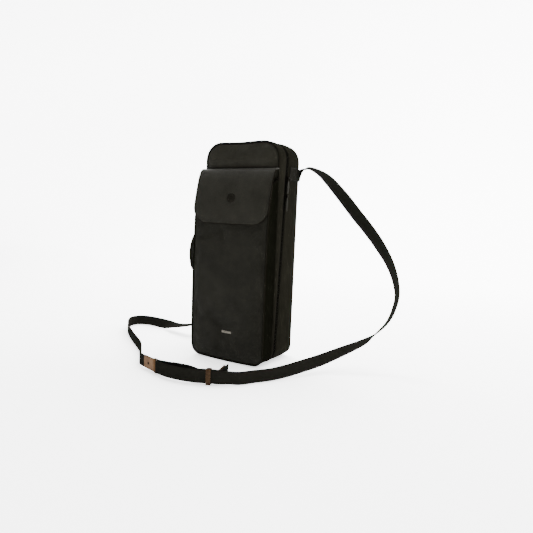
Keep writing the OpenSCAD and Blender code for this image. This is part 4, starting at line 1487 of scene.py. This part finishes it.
TALL = STRAP_W / 2 + 0.5
slider = Piece("strap_slide_buckle")
at = Matrix.Translation(GLIDE_AT) @ Matrix.Rotation(math.radians(GLIDE_TURN), 4, "Z")
for y, t in ((-5.4, 1.6), (0, 1.6), (5.4, 1.6)):
    slider.bevelled((9, t, 2 * TALL + 3.0), at @ Matrix.Translation(Vector((0, y, 0))), 0.6, 3)
for z in (-1, 1):
    slider.bevelled((9, 12.4, 1.5), at @ Matrix.Translation(Vector((0, 0, z * (TALL + 0.78)))), 0.6, 3)
slider.build(COPPER, "strap_adjuster", ["strap_adjuster"])

ring = Piece("strap_ring_wire")
WIRE_R, CORNER = 1.2, 2.4
ring_high = TALL + 0.7 - CORNER
at = Matrix.Translation(RING_AT) @ Matrix.Rotation(math.radians(RING_TURN), 4, "Z")
rows = []
for cx, cz, start in ((RING_GAP - CORNER, ring_high, 0), (CORNER, ring_high, 90),
                      (CORNER, -ring_high, 180), (RING_GAP - CORNER, -ring_high, 270)):
    for x, z, ox, oz in arc(cx, cz, CORNER, start, start + 90, 6):
        rows.append([tuple(at @ Vector((x + WIRE_R * math.cos(s) * ox, WIRE_R * math.sin(s),
                                        z + WIRE_R * math.cos(s) * oz))) for s in ring_angles(12)])
ring.tube(rows, closed=True)
ring.build(COPPER, "strap_ring", ["strap_ring"], sharp=60)


def anchor(name, side, z0, node):
    """Stitched patch over the strap's sewn end."""
    piece = Piece(name)

    def surface(y):
        swell = 1.6 * math.sin(math.pi * min(max((y + 6) / 46, 0), 1))
        return side * (HALF_W + 1.0 + swell)
    depths = [0.5 + 33.5 * k / 12 for k in range(13)]
    rows = [[(surface(y), y, z) for y in depths]
            for z in np.linspace(z0 - 15, z0 + 15, 11)]
    piece.sheet(rows, 1.6, lambda i, k: (side, 0, 0))
    piece.build(WEBBING, "rear_shell", [node])
    seam = Piece(name + "_stitching")
    box = [(3, -12), (31, -12), (31, 12), (3, 12), (3, -12), (31, 12)]
    for (y0, a), (y1, b) in list(zip(box, box[1:])) + [((31, -12), (3, 12))]:
        pts = []
        for t in np.linspace(0, 1, 7):
            y, z = y0 + (y1 - y0) * t, z0 + a + (b - a) * t
            pts.append((surface(y), y, z))
        stitches(seam, pts, [(side, 0, 0)] * 7, 2.4, 1.0, 0.3)
    seam.build(THREAD, "rear_shell", ())


LONG_END_Z, SHORT_END_Z = 397, 54  # where the strap's two ends are sewn on
anchor("strap_anchor_patch_top", 1, LONG_END_Z, "strap_anchor_top")
anchor("strap_anchor_patch_low", -1, SHORT_END_Z, "strap_anchor_bottom")


# ---------- stage ----------

SWEEP_Y, SWEEP_R = 1500, 2200
sweep_rows = [(y, 0) for y in (-6000, -1500, 0, 700, SWEEP_Y)]
sweep_rows += [(SWEEP_Y + SWEEP_R * math.sin(math.radians(a)), SWEEP_R * (1 - math.cos(math.radians(a))))
               for a in range(5, 91, 5)]
sweep_rows += [(SWEEP_Y + SWEEP_R, 7000)]
paper = Nodes("studio_paper")
grey = paper.noise(3, 3, 0.5)
parts = paper.add("ShaderNodeSeparateXYZ", {"Vector": paper.place()})
glow = paper.add("ShaderNodeMapRange", {"Value": parts.outputs["Y"], "From Min": -0.9, "From Max": 3.4,
                                        "To Min": 0.75, "To Max": 6.5}, interpolation_type="SMOOTHSTEP")
paper.shade(paper.mix(grey, (0.93, 0.93, 0.93), (0.915, 0.915, 0.915)), paper.span(grey, 0.85, 0.95))
paper.put(paper.bsdf.inputs["Emission Color"], paper.mix(grey, (1.0, 1.0, 1.0), (0.985, 0.985, 0.985)))
paper.put(paper.bsdf.inputs["Emission Strength"], glow.outputs[0])
floor = Piece("studio_sweep")
floor.grid([[(x, y, z) for x in (-9000, -3000, 0, 3000, 9000)] for y, z in sweep_rows])
floor.build(paper.mat)

world = bpy.data.worlds.new("studio")
bpy.context.scene.world = world
world.use_nodes = True
world.node_tree.nodes["Background"].inputs["Color"].default_value = (1, 1, 1, 1)
world.node_tree.nodes["Background"].inputs["Strength"].default_value = 0.9


def area_light(name, place, target, size, power):
    """Soft rectangular light that looks at a target."""
    data = bpy.data.lights.new(name, "AREA")
    data.shape = "RECTANGLE"
    data.size, data.size_y = size
    data.energy = power
    obj = bpy.data.objects.new(name, data)
    bpy.context.scene.collection.objects.link(obj)
    obj.location = place
    obj.rotation_mode = "QUATERNION"
    obj.rotation_quaternion = (Vector(target) - Vector(place)).to_track_quat("-Z", "Y")


area_light("top_softbox", (0.2, 0.9, 2.6), (0.2, 0.9, 0), (3.2, 3.2), 330)
area_light("key_softbox", (-0.9, 0.5, 2.0), (0.1, -0.05, 0), (0.7, 0.7), 60)

camera = bpy.data.cameras.new("camera")
camera.sensor_width = 36
camera.lens = 32.06
cam = bpy.data.objects.new("camera", camera)
bpy.context.scene.collection.objects.link(cam)
right, above, ahead = (0.8626, 0.5041, 0.0413), (-0.0899, 0.0724, 0.9932), (-0.4977, 0.8606, -0.1078)
cam.matrix_world = Matrix((
    (right[0], above[0], -ahead[0], 0.5562), (right[1], above[1], -ahead[1], -0.8826),
    (right[2], above[2], -ahead[2], 0.3104), (0, 0, 0, 1)))
bpy.context.scene.camera = cam

print("strap lengths, mm:", {k: round(v) for k, v in LENGTHS.items()})
